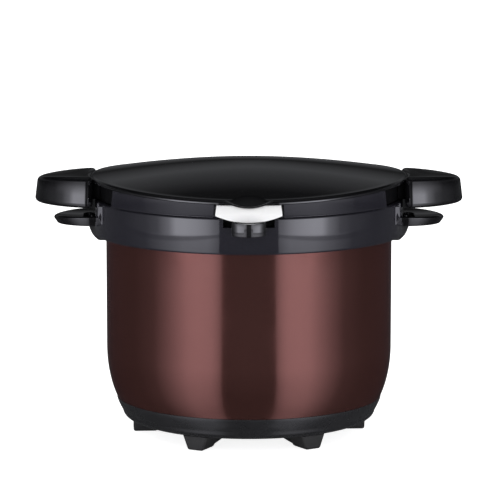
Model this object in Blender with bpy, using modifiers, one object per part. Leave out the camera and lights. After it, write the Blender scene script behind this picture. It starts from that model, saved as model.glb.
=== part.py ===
import math

import bmesh
import bpy
from mathutils import Matrix, Vector

# A thermal cooker: a vacuum vessel with a collar, base and feet, a hinged insulated lid with a sprung latch,
# and a cooking pot with its own lid inside. Metres, +Z up. The origin is on the floor under the vessel's
# axis, the latch faces -Y, the hinge is at +Y and the handles lie along X.

# Driving sizes

GAP = 0.0003              # clearance between pieces that meet
OVERRUN = 0.004           # how far a cutter reaches past what it cuts
MERGE = 0.00001
RING_STEPS = 48           # facets round a turned piece
INNER_STEPS = 32          # facets round hidden pieces that lie free
SCREW_SIDES = 8

# vessel
BODY_RADIUS = 0.1304
SHELL_WALL = 0.0008
SHOULDER_RISE = 0.0465    # from the base's top edge to where the wall begins to draw in
SHOULDER_DEPTH = 0.067
SHOULDER_INSET = 0.033
LINER_INSET = 0.0134      # from the body's outside to the liner's inside
LINER_WALL = 0.0008
LINER_FLOOR_RISE = 0.0025 # liner's inside floor above the base's top edge
LINER_CORNER = 0.018
MOUTH_CORNER = 0.003
FOIL_WALL = 0.0005
FOIL_SPACE = 0.0025       # from the liner's outside to the foil
FOIL_MARGIN = 0.012       # foil's distance from floor corner and from mouth

# base and feet
FOOT_HEIGHT = 0.013
BASE_HEIGHT = 0.0205      # height of the visible black base
BASE_WALL = 0.0024
BASE_KNEE_INSET = 0.0052
BASE_KNEE_HEIGHT = 0.0075
BASE_ROUND = 0.012
BASE_PROUD = 0.0002
BASE_EDGE = 0.0012        # upright edge at the top of the base
BOTTOM_LIP = 0.006        # upturned edge of the outer bottom plate
SKIRT_DROP = 0.010        # how far the shell's skirt reaches below the base's top edge
FOOT_COUNT = 6
FOOT_TURN = math.radians(3)
FOOT_OVERHANG = 0.0025    # feet beyond the base's flat underside
FOOT_LENGTH = 0.0285
FOOT_TOP_WIDTH = 0.025
FOOT_SOLE_WIDTH = 0.015
FOOT_SOLE_LENGTH = 0.022
FOOT_EDGE = 0.002
PEG_RADIUS = 0.003
PEG_HEIGHT = 0.0045
PLATE_RADIUS = 0.040
PLATE_WALL = 0.0012
BASE_SCREW_COUNT = 3
BASE_SCREW_CIRCLE = 0.028
BOSS_RADIUS = 0.0062

# screws
HEAD_RADIUS = 0.0032
HEAD_HEIGHT = 0.0020
SHANK_RADIUS = 0.0014
SOCKET_RADIUS = 0.0013    # driver recess
SOCKET_DEPTH = 0.0011

# collar
COLLAR_TOP = 0.2165
COLLAR_HEIGHT = 0.0327
COLLAR_PROUD = 0.0114
COLLAR_EDGE = 0.0008
COLLAR_FOOT_ROUND = 0.0020
COLLAR_WALL = 0.0027
COLLAR_HOLLOW = 0.0162    # depth of the hollow between its walls, open below
FLANGE_WALL = 0.0029
MOUTH_PROUD = 0.0015      # collar's mouth outside the liner
SEAL_HEIGHT = 0.0010
SEAL_WIDTH = 0.0075
SEAL_INSET = 0.0025       # seal's inner edge from the mouth

# ear handles
EAR_SEAT_DEPTH = 0.0048   # flat seats cut into the collar
EAR_PROUD = 0.0362
EAR_HALF_WIDTH = 0.031
EAR_CENTRE_INSET = 0.0018
EAR_WALL = 0.0067
EAR_DROP = 0.0172         # ear's top below the collar's
EAR_ROUND = 0.0022
EAR_ROOT_HALF = 0.029
EAR_ROOT_WALL = 0.0020
EAR_ROOT_DROP = 0.0045
EAR_RIB_REACH = 0.0146
EAR_RIB_DEPTH = 0.019
EAR_RIB_POWER = 1.6
EAR_RIB_INSET = 0.005
EAR_RIB_HEIGHT = 0.0158
SLOT_LENGTH = 0.010
SLOT_HALF_WIDTH = 0.025
SLOT_CORNER = 0.004
EAR_SCREW_SPACING = 0.036
EAR_SCREW_RISE = 0.0047   # above the ear's top face
EAR_SCREW_LENGTH = 0.0078

# lid
PARTING = 0.0006          # open seam between collar and lid
LID_RISE = 0.034          # lid's highest point above the collar
DOME_INSET = 0.0013
SIDE_DROP = 0.0126        # how far the dome's edge lies below its apex
FRONT_DROP = 0.0183
DOME_POWER = 1.72
DOME_RING_SHARES = (0, 0.25, 0.5, 0.7, 0.85, 0.95, 1)
LIP_REACH = 0.0038
LIP_DROP = 0.0036
LIP_EDGE = 0.0009         # upright part of the lip
LID_WALL = 0.0024
RIM_PROUD = 0.0042        # lid's rim outside the collar
RIM_BEAD = 0.0024
RIM_CHAMFER = 0.0009
RIM_WALL = 0.0133
RIM_FLANGE = 0.0034
RIM_MOUTH_INSET = 0.003
RECESS_DEPTH = 0.0035     # set-back wall behind the handles
RECESS_STEPS = 8          # of the ring's facets
GASKET_OFFSET = 0.0034
GASKET_WIDTH = 0.005
GASKET_HEIGHT = 0.0026
PLUG_CLEAR = 0.004        # between plug and liner
PLUG_DEPTH = 0.0105
PLUG_WALL = 0.0016
PLUG_CORNER = 0.004
PLUG_FLANGE = 0.009
KNOB_ROOM_RADIUS = 0.034
KNOB_ROOM_HEIGHT = 0.020
PLATE_SCREW_COUNT = 4
PLATE_SCREW_LENGTH = 0.0042

# lid handles
GRIP_PROUD = 0.0545       # lid handle beyond the dome
GRIP_ROOT = 0.0055
GRIP_HALF_WIDTH = 0.038
GRIP_POWER = 1.7
GRIP_DROP = 0.0045
GRIP_HEIGHT = 0.025
GRIP_ROUND = 0.0048
GRIP_DRAFT = 0.0022
GRIP_CLEAR = 0.0021       # slot between lid lip and handle
NECK_HALF_WIDTH = 0.025
NECK_CLEAR = 0.0004
NECK_DROP = 0.006
GRIP_POCKET_DEPTH = 0.012
GRIP_POCKET_HALF = 0.0185
GRIP_POCKET_START = 0.0155
GRIP_POCKET_END = 0.013
GRIP_SCREW_SPACING = 0.028
GRIP_SCREW_RISE = 0.007
GRIP_SCREW_LENGTH = 0.0185

# hinge
HINGE_PROUD = 0.0036      # hinge axis behind the lid's rim
HINGE_RISE = 0.0005
KNUCKLE_RADIUS = 0.0054
LID_KNUCKLE_HALF = 0.014
KNUCKLE_WIDTH = 0.0125    # each collar knuckle
KNUCKLE_CLEAR = 0.0006    # between neighbouring knuckles
KNUCKLE_ROOM = 0.0014     # round the knuckles, in the lid's rim
PIN_RADIUS = 0.0020
PIN_PLAY = 0.0001
PIN_HEAD = 0.0012
ARM_DEPTH = 0.0105        # collar arm, below the collar's top
LID_ARM_HEIGHT = 0.0040

# latch
LATCH_INSET = 0.002       # latch pin inside the dome's edge
LATCH_RISE = 0.0035
LATCH_PIN_RADIUS = 0.0013
LATCH_PIN_HALF = 0.0190
LEVER_HALF = 0.0150
LEVER_CLEAR = 0.0006
BUTTON_HALF_ANGLE = math.radians(11.7)
BUTTON_STEPS = 12
BUTTON_PROUD = 0.0075
BUTTON_WALL = 0.0030
BUTTON_DROP = 0.0033
BUTTON_FLAT = 0.0074      # upright part of its face
BUTTON_HEIGHT = 0.0145
BUTTON_TOP_PROUD = 0.0029
BUTTON_TOP_WALL = 0.0018
BUTTON_FOOT_ARC = 0.078
BUTTON_CLEAR = 0.0012
BUTTON_POCKET_RISE = 0.010
BUTTON_POCKET_PROUD = 0.0019
BUTTON_POCKET_INSET = 0.0007
TAB_PROUD = 0.007
TAB_ROOT = 0.0014
TAB_DROP = 0.0165
TAB_HEIGHT = 0.014
TAB_ROUND = 0.0010
TAB_POWER = 1.8
ARM_SETBACK = 0.002       # arm behind the button's back
ARM_WALL = 0.0024
LUG_REACH = 0.0037
LUG_CLEAR = 0.0009
LUG_CROWN = 0.0024
SPRING_ROOM = 0.0035       # half the slot that the spring sits in, across the pin
SPRING_ROOM_HALF = 0.0055   # and along it
POCKET_CLEAR = 0.0013
CLAW_HALF = 0.012
CLAW_DROP = 0.0070
CLAW_WALL = 0.0033
CATCH_HALF = 0.0225
CATCH_ROOM = 0.0015
CATCH_LEDGE = 0.0031      # ledge thickness at the collar's top
LEDGE_INSET = 0.0005
CATCH_UNDERCUT = 0.0036
SCOOP_RADIUS = 0.0428
SCOOP_DIP = 0.0004        # scooped lip below the button's top
SCOOP_WALL = 0.0018
SCOOP_TILT = math.radians(27)
SCOOP_HALF = 0.022
SCOOP_SEAT = 0.0128       # depth of the scooped lip
SPRING_WIRE = 0.0007
SPRING_RADIUS = 0.0024
SPRING_TURNS = 4.5
SPRING_POINTS = 6
SPRING_PITCH = 0.0016
SPRING_LEG = 0.0027

# cooking pot
POT_INSET = 0.011
POT_WALL = 0.0012
POT_ROOM = 0.0279         # from the pot's rim to the plug
POT_CORNER = 0.012
POT_LIP = 0.0022
DISC_INSET = 0.014
DISC_WALL = 0.005
WIRE_RADIUS = 0.0020
WIRE_OFFSET = 0.0044      # wire handles outside the pot's wall
WIRE_HALF_ANGLE = math.radians(16)
WIRE_RISE = 0.012         # above the pot's rim
WIRE_CORNER = 0.009
WIRE_FOOT = 0.028         # below the pot's rim
BRACKET_WALL = 0.0012
BRACKET_HEIGHT = 0.016
BRACKET_STEPS = 6
SLEEVE_WALL = 0.0011
POT_LID_WALL = 0.0009
POT_LID_FLANGE = 0.0036
POT_LID_SKIRT = 0.0045    # depth of the groove that centres the lid in the pot
POT_LID_GROOVE = 0.0030
POT_LID_SHARES = (0.35, 0.65, 0.88, 1)
POT_LID_RISE = 0.0095
POT_LID_PLAY = 0.0008
POT_LID_REACH = 0.0004    # flange inside the pot lip's edge
KNOB_HEIGHT = 0.0190
KNOB_FOOT_RADIUS = 0.0125
KNOB_WAIST_RADIUS = 0.0085
KNOB_RADIUS = 0.0165
KNOB_CROWN_RADIUS = 0.0090
KNOB_EDGE_RADIUS = 0.0148
KNOB_RADII = (KNOB_CROWN_RADIUS, KNOB_EDGE_RADIUS, KNOB_RADIUS, KNOB_EDGE_RADIUS, KNOB_WAIST_RADIUS,
              KNOB_WAIST_RADIUS, KNOB_FOOT_RADIUS, KNOB_FOOT_RADIUS)
KNOB_HEIGHT_SHARES = (1, 0.93, 0.8, 0.66, 0.45, 0.25, 0.08, 0)
KNOB_STEPS = 32
KNOB_SCREW_LENGTH = 0.0120

# Places worked out from the sizes

base_top = FOOT_HEIGHT + BASE_HEIGHT
shoulder_top = base_top + SHOULDER_RISE


def shoulder_radius(height):
    fall = max(0, shoulder_top - height) / SHOULDER_DEPTH
    return BODY_RADIUS - SHOULDER_INSET * (1 - math.sqrt(1 - fall * fall))


base_radius = shoulder_radius(base_top)

liner_floor = base_top + LINER_FLOOR_RISE
liner_radius = BODY_RADIUS - LINER_INSET
base_knee_radius = base_radius - BASE_KNEE_INSET
base_flat_radius = base_knee_radius - BASE_ROUND
skirt_radius = base_knee_radius - BASE_WALL - GAP
skirt_bottom = base_top - SKIRT_DROP
foot_outer = base_flat_radius + FOOT_OVERHANG

collar_radius = BODY_RADIUS + COLLAR_PROUD
collar_bore = BODY_RADIUS + GAP
collar_bottom = COLLAR_TOP - COLLAR_HEIGHT
collar_hollow_top = collar_bottom + COLLAR_HOLLOW
mouth_radius = liner_radius + MOUTH_PROUD
flange_under = COLLAR_TOP - FLANGE_WALL
seal_low = flange_under - GAP - SEAL_HEIGHT
vessel_top = seal_low - GAP
shell_top = vessel_top - LINER_WALL - GAP

ear_seat = collar_radius - EAR_SEAT_DEPTH
ear_reach = collar_radius + EAR_PROUD
ear_centre = collar_radius - EAR_CENTRE_INSET
ear_top = COLLAR_TOP - EAR_DROP
ear_low = ear_top - EAR_WALL
ear_root_top = COLLAR_TOP - EAR_ROOT_DROP
ear_rib_centre = ear_seat - EAR_RIB_INSET
ear_rib_foot = ear_low - EAR_RIB_HEIGHT
ear_screw_height = ear_top + EAR_SCREW_RISE
slot_near = collar_radius - GAP

lid_bottom = COLLAR_TOP + PARTING
dome_apex = COLLAR_TOP + LID_RISE
dome_radius = collar_radius - DOME_INSET
rim_top_side = dome_apex - SIDE_DROP - LIP_DROP - GAP
rim_inner = dome_radius + LIP_REACH - RIM_WALL
rim_foot_radius = collar_radius + RIM_PROUD
rim_mouth = liner_radius - RIM_MOUTH_INSET
recess_radius = dome_radius - RECESS_DEPTH
gasket_radius = liner_radius + GASKET_OFFSET
plug_radius = liner_radius - PLUG_CLEAR
plug_bottom = COLLAR_TOP - PLUG_DEPTH
plug_flange_low = lid_bottom + RIM_FLANGE + GAP
plate_screw_circle = plug_radius + PLUG_FLANGE / 2

grip_reach = dome_radius + GRIP_PROUD
grip_centre = dome_radius - GRIP_ROOT
grip_low = COLLAR_TOP - GRIP_DROP
grip_top = grip_low + GRIP_HEIGHT
neck_low = lid_bottom + NECK_CLEAR
neck_top = grip_top - NECK_DROP
grip_pocket_near = dome_radius + GRIP_POCKET_START
grip_pocket_far = grip_reach - GRIP_POCKET_END
grip_screw_height = neck_low + GRIP_SCREW_RISE

hinge_y = rim_foot_radius + HINGE_PROUD
hinge_height = COLLAR_TOP + HINGE_RISE

latch_y = dome_radius - LATCH_INSET
latch_height = COLLAR_TOP + LATCH_RISE
button_face = dome_radius + BUTTON_PROUD
button_foot = COLLAR_TOP - BUTTON_DROP
button_brow = button_foot + BUTTON_FLAT
button_top = button_foot + BUTTON_HEIGHT
button_top_face = dome_radius + BUTTON_TOP_PROUD
button_pocket_step = button_foot + BUTTON_POCKET_RISE
button_pocket_low = dome_radius + BUTTON_POCKET_PROUD
button_pocket_high = dome_radius - BUTTON_POCKET_INSET
tab_nose = button_face + TAB_PROUD
tab_back = button_face - TAB_ROOT
tab_foot = COLLAR_TOP - TAB_DROP
tab_top = tab_foot + TAB_HEIGHT
arm_front = button_face - BUTTON_WALL - ARM_SETBACK
lug_back = latch_y - LUG_REACH
lug_low = COLLAR_TOP + LUG_CLEAR
lug_top = latch_height + LUG_CROWN
pocket_back = lug_back - POCKET_CLEAR
catch_ledge_face = latch_y - LEDGE_INSET
catch_back = catch_ledge_face - CATCH_UNDERCUT
claw_tip = catch_ledge_face + GAP
claw_low = COLLAR_TOP - CLAW_DROP
claw_top = claw_low + CLAW_WALL
catch_floor = claw_low - CATCH_ROOM
scoop_low = button_top - SCOOP_DIP

pot_radius = liner_radius - POT_INSET
pot_outer = pot_radius + POT_WALL
pot_floor = liner_floor + GAP + GAP + DISC_WALL + GAP + POT_WALL
pot_rim = plug_bottom - POT_ROOM
disc_radius = pot_radius - DISC_INSET
wire_circle = pot_outer + WIRE_OFFSET
pot_lid_low = pot_rim + GAP + GAP
pot_lid_top = pot_lid_low + POT_LID_WALL + POT_LID_RISE



def clear_scene():
    for old in list(bpy.data.objects):
        bpy.data.objects.remove(old, do_unlink=True)


def add_collection(name):
    group = bpy.data.collections.new(name)
    bpy.context.scene.collection.children.link(group)
    return group


def add_finish(name, colour, roughness, metallic):
    finish = bpy.data.materials.new(name)
    finish.use_nodes = True
    shader = finish.node_tree.nodes["Principled BSDF"]
    shader.inputs["Base Color"].default_value = (*colour, 1)
    shader.inputs["Roughness"].default_value = roughness
    shader.inputs["Metallic"].default_value = metallic
    finish.diffuse_color = (*colour, 1)
    return finish


clear_scene()
parts = add_collection("thermal_cooker")
tools = add_collection("cutters")

lacquer = add_finish("brown_lacquer", (0.115, 0.062, 0.058), 0.25, 0.8)
gloss_black = add_finish("gloss_black", (0.012, 0.012, 0.014), 0.12, 0)
satin_black = add_finish("satin_black", (0.030, 0.030, 0.032), 0.45, 0)
rubber = add_finish("rubber", (0.022, 0.022, 0.023), 0.7, 0)
aluminium = add_finish("aluminium", (0.72, 0.72, 0.73), 0.35, 1)
white_plastic = add_finish("white_plastic", (0.85, 0.85, 0.85), 0.3, 0)
silicone = add_finish("silicone", (0.42, 0.42, 0.42), 0.5, 0)
steel = add_finish("steel", (0.58, 0.57, 0.55), 0.25, 1)
foam = add_finish("foam", (0.80, 0.76, 0.66), 0.9, 0)


# Modelling helpers

def link(obj, finish=None):
    if finish is None:
        tools.objects.link(obj)
        obj.hide_render = True
        obj.display_type = "WIRE"
    else:
        parts.objects.link(obj)
        obj.data.materials.clear()
        obj.data.materials.append(finish)
    return obj


def settle(obj):
    # replaces an object's modifiers, or a curve, by the mesh that they give
    bpy.context.view_layer.update()
    shown = obj.evaluated_get(bpy.context.evaluated_depsgraph_get())
    mesh = bpy.data.meshes.new_from_object(shown)
    shape = bmesh.new()
    shape.from_mesh(mesh)
    bmesh.ops.remove_doubles(shape, verts=shape.verts, dist=MERGE)
    shape.to_mesh(mesh)
    shape.free()
    settled = bpy.data.objects.new(obj.name, mesh)
    settled.matrix_world = obj.matrix_world.copy()
    name = obj.name
    group = obj.users_collection[0]
    wire = obj.display_type == "WIRE"
    bpy.data.objects.remove(obj, do_unlink=True)
    settled.name = name
    group.objects.link(settled)
    settled.hide_render = wire
    settled.display_type = "WIRE" if wire else "TEXTURED"
    return settled


def smooth(obj, angle=math.radians(32)):
    obj.data.shade_smooth()
    obj.data.set_sharp_from_angle(angle=angle)
    return obj


def outline_mesh(name, points, closed):
    mesh = bpy.data.meshes.new(name)
    edges = [(i, i + 1) for i in range(len(points) - 1)]
    if closed:
        edges.append((len(points) - 1, 0))
    mesh.from_pydata([(r, 0, z) for r, z in points], edges, [])
    return mesh


def turned(name, points, finish=None, closed=True, steps=RING_STEPS, angle=math.tau, start=0):
    # a profile of radius and height, run down its outer side, turned round Z
    obj = bpy.data.objects.new(name, outline_mesh(name, points, closed))
    link(obj, finish)
    obj.rotation_euler.z = start
    turn = obj.modifiers.new("turn", "SCREW")
    turn.axis = "Z"
    turn.angle = angle
    turn.steps = steps
    turn.render_steps = steps
    turn.use_merge_vertices = True
    turn.merge_threshold = MERGE
    return obj


def thicken(obj, wall, outwards=False):
    shell = obj.modifiers.new("wall", "SOLIDIFY")
    shell.thickness = wall
    shell.offset = 1 if outwards else -1
    shell.use_even_offset = True
    return obj


def turned_shell(name, points, wall, finish, outwards=False, steps=RING_STEPS):
    # a shell whose profile is its outer surface, or its inner one with the wall outwards
    return thicken(turned(name, points, finish, closed=False, steps=steps), wall, outwards)


def sector(name, points, half_angle, steps, middle, finish=None):
    # a closed slice of a turned ring, centred on the direction middle
    obj = settle(turned(name, points, finish, steps=steps, angle=half_angle * 2, start=middle - half_angle))
    shape = bmesh.new()
    shape.from_mesh(obj.data)
    bmesh.ops.holes_fill(shape, edges=shape.edges, sides=0)
    bmesh.ops.recalc_face_normals(shape, faces=shape.faces)
    shape.to_mesh(obj.data)
    shape.free()
    return obj


def box(name, low, high, finish=None):
    mesh = bpy.data.meshes.new(name)
    shape = bmesh.new()
    size = Vector(high) - Vector(low)
    bmesh.ops.create_cube(shape, size=1, matrix=Matrix.Diagonal((*size, 1)))
    shape.to_mesh(mesh)
    shape.free()
    obj = bpy.data.objects.new(name, mesh)
    obj.location = (Vector(low) + Vector(high)) / 2
    return link(obj, finish)


def rod(name, start, end, radius, finish=None, sides=16):
    # a cylinder from start to end
    start = Vector(start)
    end = Vector(end)
    mesh = bpy.data.meshes.new(name)
    shape = bmesh.new()
    bmesh.ops.create_cone(shape, cap_ends=True, segments=sides, radius1=radius, radius2=radius,
                          depth=(end - start).length)
    shape.to_mesh(mesh)
    shape.free()
    obj = bpy.data.objects.new(name, mesh)
    obj.location = (start + end) / 2
    obj.rotation_euler = (end - start).to_track_quat("Z", "Y").to_euler()
    return link(obj, finish)


def slab(name, outline, low, high, rounding, finish=None):
    # a flat outline with rounded edges between two heights
    curve = bpy.data.curves.new(name, "CURVE")
    curve.dimensions = "2D"
    curve.fill_mode = "BOTH"
    curve.extrude = (high - low) / 2 - rounding
    curve.bevel_depth = rounding
    curve.offset = -rounding
    curve.bevel_resolution = 2 if rounding else 0
    line = curve.splines.new("POLY")
    line.points.add(len(outline) - 1)
    for point, place in zip(line.points, outline):
        point.co = (*place, 0, 1)
    line.use_cyclic_u = True
    obj = bpy.data.objects.new(name, curve)
    obj.location.z = (low + high) / 2
    return settle(link(obj, finish))


def combine(obj, other, operation):
    step = obj.modifiers.new(operation.lower(), "BOOLEAN")
    step.operation = operation
    step.solver = "EXACT"
    step.object = other
    return obj


def cut(obj, *others):
    for other in others:
        combine(obj, other, "DIFFERENCE")
    return obj


def join(obj, *others):
    for other in others:
        combine(obj, other, "UNION")
    return obj


def move_points(obj, rule):
    # moves each point of a settled mesh to rule(x, y, z)
    for point in obj.data.vertices:
        point.co = rule(*point.co)
    return obj


def superellipse(centre_x, reach, half_width, power, count, start_x):
    # the half outline beyond centre_x, closed by a straight edge at start_x
    points = [(start_x, -half_width)]
    for i in range(count + 1):
        turn = math.pi * i / count - math.pi / 2
        out = abs(math.cos(turn)) ** (2 / power)
        side = math.copysign(abs(math.sin(turn)) ** (2 / power), turn)
        points.append((centre_x + reach * out, half_width * side))
    points.append((start_x, half_width))
    return points


def rounded_rectangle(low, high, corner, count=3):
    points = []
    corners = ((high[0], low[1], -1), (high[0], high[1], 0), (low[0], high[1], 1), (low[0], low[1], 2))
    for x, y, quarter in corners:
        middle_x = x - math.copysign(corner, x - (low[0] + high[0]) / 2)
        middle_y = y - math.copysign(corner, y - (low[1] + high[1]) / 2)
        for i in range(count + 1):
            turn = (quarter + i / count) * math.pi / 2
            points.append((middle_x + corner * math.cos(turn), middle_y + corner * math.sin(turn)))
    return points


def mirrored(points):
    # the same outline on the -X side, still anticlockwise
    return [(-x, y) for x, y in reversed(points)]


def carry(joint, *pieces):
    for piece in pieces:
        piece.parent = joint
        piece.matrix_parent_inverse = Matrix.Translation(joint.location).inverted()


def joint_empty(name, place):
    empty = bpy.data.objects.new(name, None)
    empty.location = place
    parts.objects.link(empty)
    return empty


def machine_screw(name, seat, direction, length, finish=steel):
    # head outside seat, shank along direction
    seat = Vector(seat)
    along = Vector(direction).normalized()
    head_end = seat - along * HEAD_HEIGHT
    head = rod(name, head_end, seat, HEAD_RADIUS, finish, SCREW_SIDES)
    shank = rod(name + "_shank", seat - along * HEAD_HEIGHT / 2, seat + along * length, SHANK_RADIUS,
                sides=SCREW_SIDES)
    socket = rod(name + "_socket", head_end - along * OVERRUN, head_end + along * SOCKET_DEPTH, SOCKET_RADIUS,
                 sides=6)
    return cut(join(head, shank), socket)


def screw_hole(name, seat, direction, length):
    # clearance for a screw of that length
    seat = Vector(seat)
    along = Vector(direction).normalized()
    return rod(name, seat - along * OVERRUN, seat + along * (length + GAP), SHANK_RADIUS + GAP,
               sides=SCREW_SIDES)


# Vessel

def corner_arc(centre_x, centre_z, radius, first, last, count):
    turns = [math.radians(first + (last - first) * i / count) for i in range(count + 1)]
    return [(centre_x + radius * math.cos(turn), centre_z + radius * math.sin(turn)) for turn in turns]


def make_vessel():
    step = base_top + GAP
    wall = [(BODY_RADIUS, shell_top), (BODY_RADIUS, shoulder_top)]
    shares = (0.3, 0.55, 0.75, 0.9, 1)
    wall += [(shoulder_radius(h), h) for h in (shoulder_top + (step - shoulder_top) * s for s in shares)]
    wall += [(skirt_radius, step), (skirt_radius, skirt_bottom)]
    smooth(turned_shell("outer_shell", wall, SHELL_WALL, lacquer))

    edge = skirt_radius - SHELL_WALL - GAP
    dish = [(edge, skirt_bottom + BOTTOM_LIP), (edge, skirt_bottom), (0, skirt_bottom)]
    turned_shell("shell_bottom", dish, SHELL_WALL, steel)

    lining = [(BODY_RADIUS, vessel_top)]
    lining += corner_arc(liner_radius + MOUTH_CORNER, vessel_top - MOUTH_CORNER, MOUTH_CORNER, 90, 180, 2)
    lining += corner_arc(liner_radius - LINER_CORNER, liner_floor + LINER_CORNER, LINER_CORNER, 0, -90, 4)
    lining += [(0, liner_floor)]
    smooth(turned_shell("inner_liner", lining, LINER_WALL, steel, outwards=True))

    foil_radius = liner_radius + LINER_WALL + FOIL_SPACE + FOIL_WALL
    foil_low = liner_floor + LINER_CORNER + FOIL_MARGIN
    wrap = [(foil_radius, vessel_top - FOIL_MARGIN), (foil_radius, foil_low)]
    turned_shell("foil_shield", wrap, FOIL_WALL, aluminium, steps=INNER_STEPS)


def make_collar_seal():
    inner = mouth_radius + SEAL_INSET
    outer = inner + SEAL_WIDTH
    top = seal_low + SEAL_HEIGHT
    turned("collar_seal", [(outer, top), (outer, seal_low), (inner, seal_low), (inner, top)], silicone,
           steps=INNER_STEPS)


# Base and feet

def polar(radius, angle, height):
    # angle from the front, towards +X
    return Vector((radius * math.sin(angle), -radius * math.cos(angle), height))


def foot_angles():
    first = FOOT_TURN - math.pi / FOOT_COUNT
    return [first + math.tau * i / FOOT_COUNT for i in range(FOOT_COUNT)]


def base_screw_places(height):
    turns = [math.tau * i / BASE_SCREW_COUNT for i in range(BASE_SCREW_COUNT)]
    return [polar(BASE_SCREW_CIRCLE, turn, height) for turn in turns]


def make_base():
    top_radius = shoulder_radius(base_top) + BASE_PROUD
    knee = FOOT_HEIGHT + BASE_KNEE_HEIGHT
    profile = [(top_radius, base_top), (top_radius, base_top - BASE_EDGE), (base_knee_radius, knee)]
    for i in range(1, 4):
        turn = math.pi / 2 * i / 3
        profile.append((base_flat_radius + (base_knee_radius - base_flat_radius) * math.cos(turn),
                        knee - BASE_KNEE_HEIGHT * math.sin(turn)))
    profile.append((0, FOOT_HEIGHT))
    cover = turned_shell("base_cover", profile, BASE_WALL, satin_black)
    plate_low = skirt_bottom - GAP - PLATE_WALL
    head_room = FOOT_HEIGHT + HEAD_HEIGHT + SOCKET_DEPTH
    for i, place in enumerate(base_screw_places(0)):
        low = place + Vector((0, 0, FOOT_HEIGHT + BASE_WALL / 2))
        high = place + Vector((0, 0, plate_low - GAP))
        join(cover, rod(f"base_boss_{i}", low, high, BOSS_RADIUS, sides=12))
    for i, place in enumerate(base_screw_places(0)):
        bottom = place + Vector((0, 0, FOOT_HEIGHT - OVERRUN))
        boss_end = place + Vector((0, 0, plate_low + OVERRUN))
        cut(cover, rod(f"base_bore_{i}", bottom, boss_end, SHANK_RADIUS + GAP, sides=SCREW_SIDES))
        cut(cover, rod(f"base_counterbore_{i}", bottom, place + Vector((0, 0, head_room + GAP)),
                       HEAD_RADIUS + GAP, sides=SCREW_SIDES))
    plate_top = plate_low + PLATE_WALL
    plate = rod("base_plate", (0, 0, plate_low), (0, 0, plate_top), PLATE_RADIUS, steel, INNER_STEPS)
    for i, place in enumerate(base_screw_places(head_room)):
        length = plate_top - head_room - GAP
        machine_screw(f"base_screw_{i + 1}", place, (0, 0, 1), length)
        cut(plate, screw_hole(f"plate_hole_{i}", place, (0, 0, 1), length + OVERRUN))

    for i, angle in enumerate(foot_angles()):
        make_foot(f"foot_{i + 1}", angle)
        middle = polar(foot_outer - FOOT_LENGTH / 2, angle, 0)
        cut(cover, rod(f"peg_hole_{i}", middle + Vector((0, 0, FOOT_HEIGHT - OVERRUN)),
                       middle + Vector((0, 0, FOOT_HEIGHT + BASE_WALL + OVERRUN)), PEG_RADIUS + GAP,
                       sides=12))


def make_foot(name, angle):
    top = FOOT_HEIGHT - GAP
    mesh = bpy.data.meshes.new(name)
    shape = bmesh.new()
    block = Matrix.Diagonal((FOOT_TOP_WIDTH, FOOT_LENGTH, top, 1))
    bmesh.ops.create_cube(shape, size=1, matrix=Matrix.Translation((0, 0, top / 2)) @ block)
    for point in shape.verts:
        if point.co.z < top / 2:
            point.co.x *= FOOT_SOLE_WIDTH / FOOT_TOP_WIDTH
            if point.co.y > 0:
                point.co.y -= FOOT_LENGTH - FOOT_SOLE_LENGTH
    edges = [edge for edge in shape.edges if min(v.co.z for v in edge.verts) < top / 2]
    bmesh.ops.bevel(shape, geom=edges, offset=FOOT_EDGE, segments=1, profile=0.5, affect="EDGES")
    shape.to_mesh(mesh)
    shape.free()
    foot = link(bpy.data.objects.new(name, mesh), rubber)
    foot.location = polar(foot_outer - FOOT_LENGTH / 2, angle, 0)
    foot.rotation_euler.z = angle
    peg = rod(name + "_peg", foot.location + Vector((0, 0, top - PEG_RADIUS)),
              foot.location + Vector((0, 0, top + PEG_HEIGHT)), PEG_RADIUS, sides=12)
    return join(foot, peg)


# Collar and ears

def collar_profile():
    points = [(collar_radius - COLLAR_EDGE, COLLAR_TOP), (collar_radius, COLLAR_TOP - COLLAR_EDGE)]
    points += corner_arc(collar_radius - COLLAR_FOOT_ROUND, collar_bottom + COLLAR_FOOT_ROUND, COLLAR_FOOT_ROUND,
                         0, -90, 3)
    points += [(collar_radius - COLLAR_WALL, collar_bottom), (collar_radius - COLLAR_WALL, collar_hollow_top),
               (collar_bore + COLLAR_WALL, collar_hollow_top), (collar_bore + COLLAR_WALL, collar_bottom),
               (collar_bore, collar_bottom), (collar_bore, flange_under), (mouth_radius, flange_under),
               (mouth_radius, COLLAR_TOP)]
    return points


def ear_screw_places(side):
    half = EAR_SCREW_SPACING / 2
    return [Vector((side * (collar_bore + HEAD_HEIGHT + GAP), y, ear_screw_height)) for y in (-half, half)]


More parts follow.
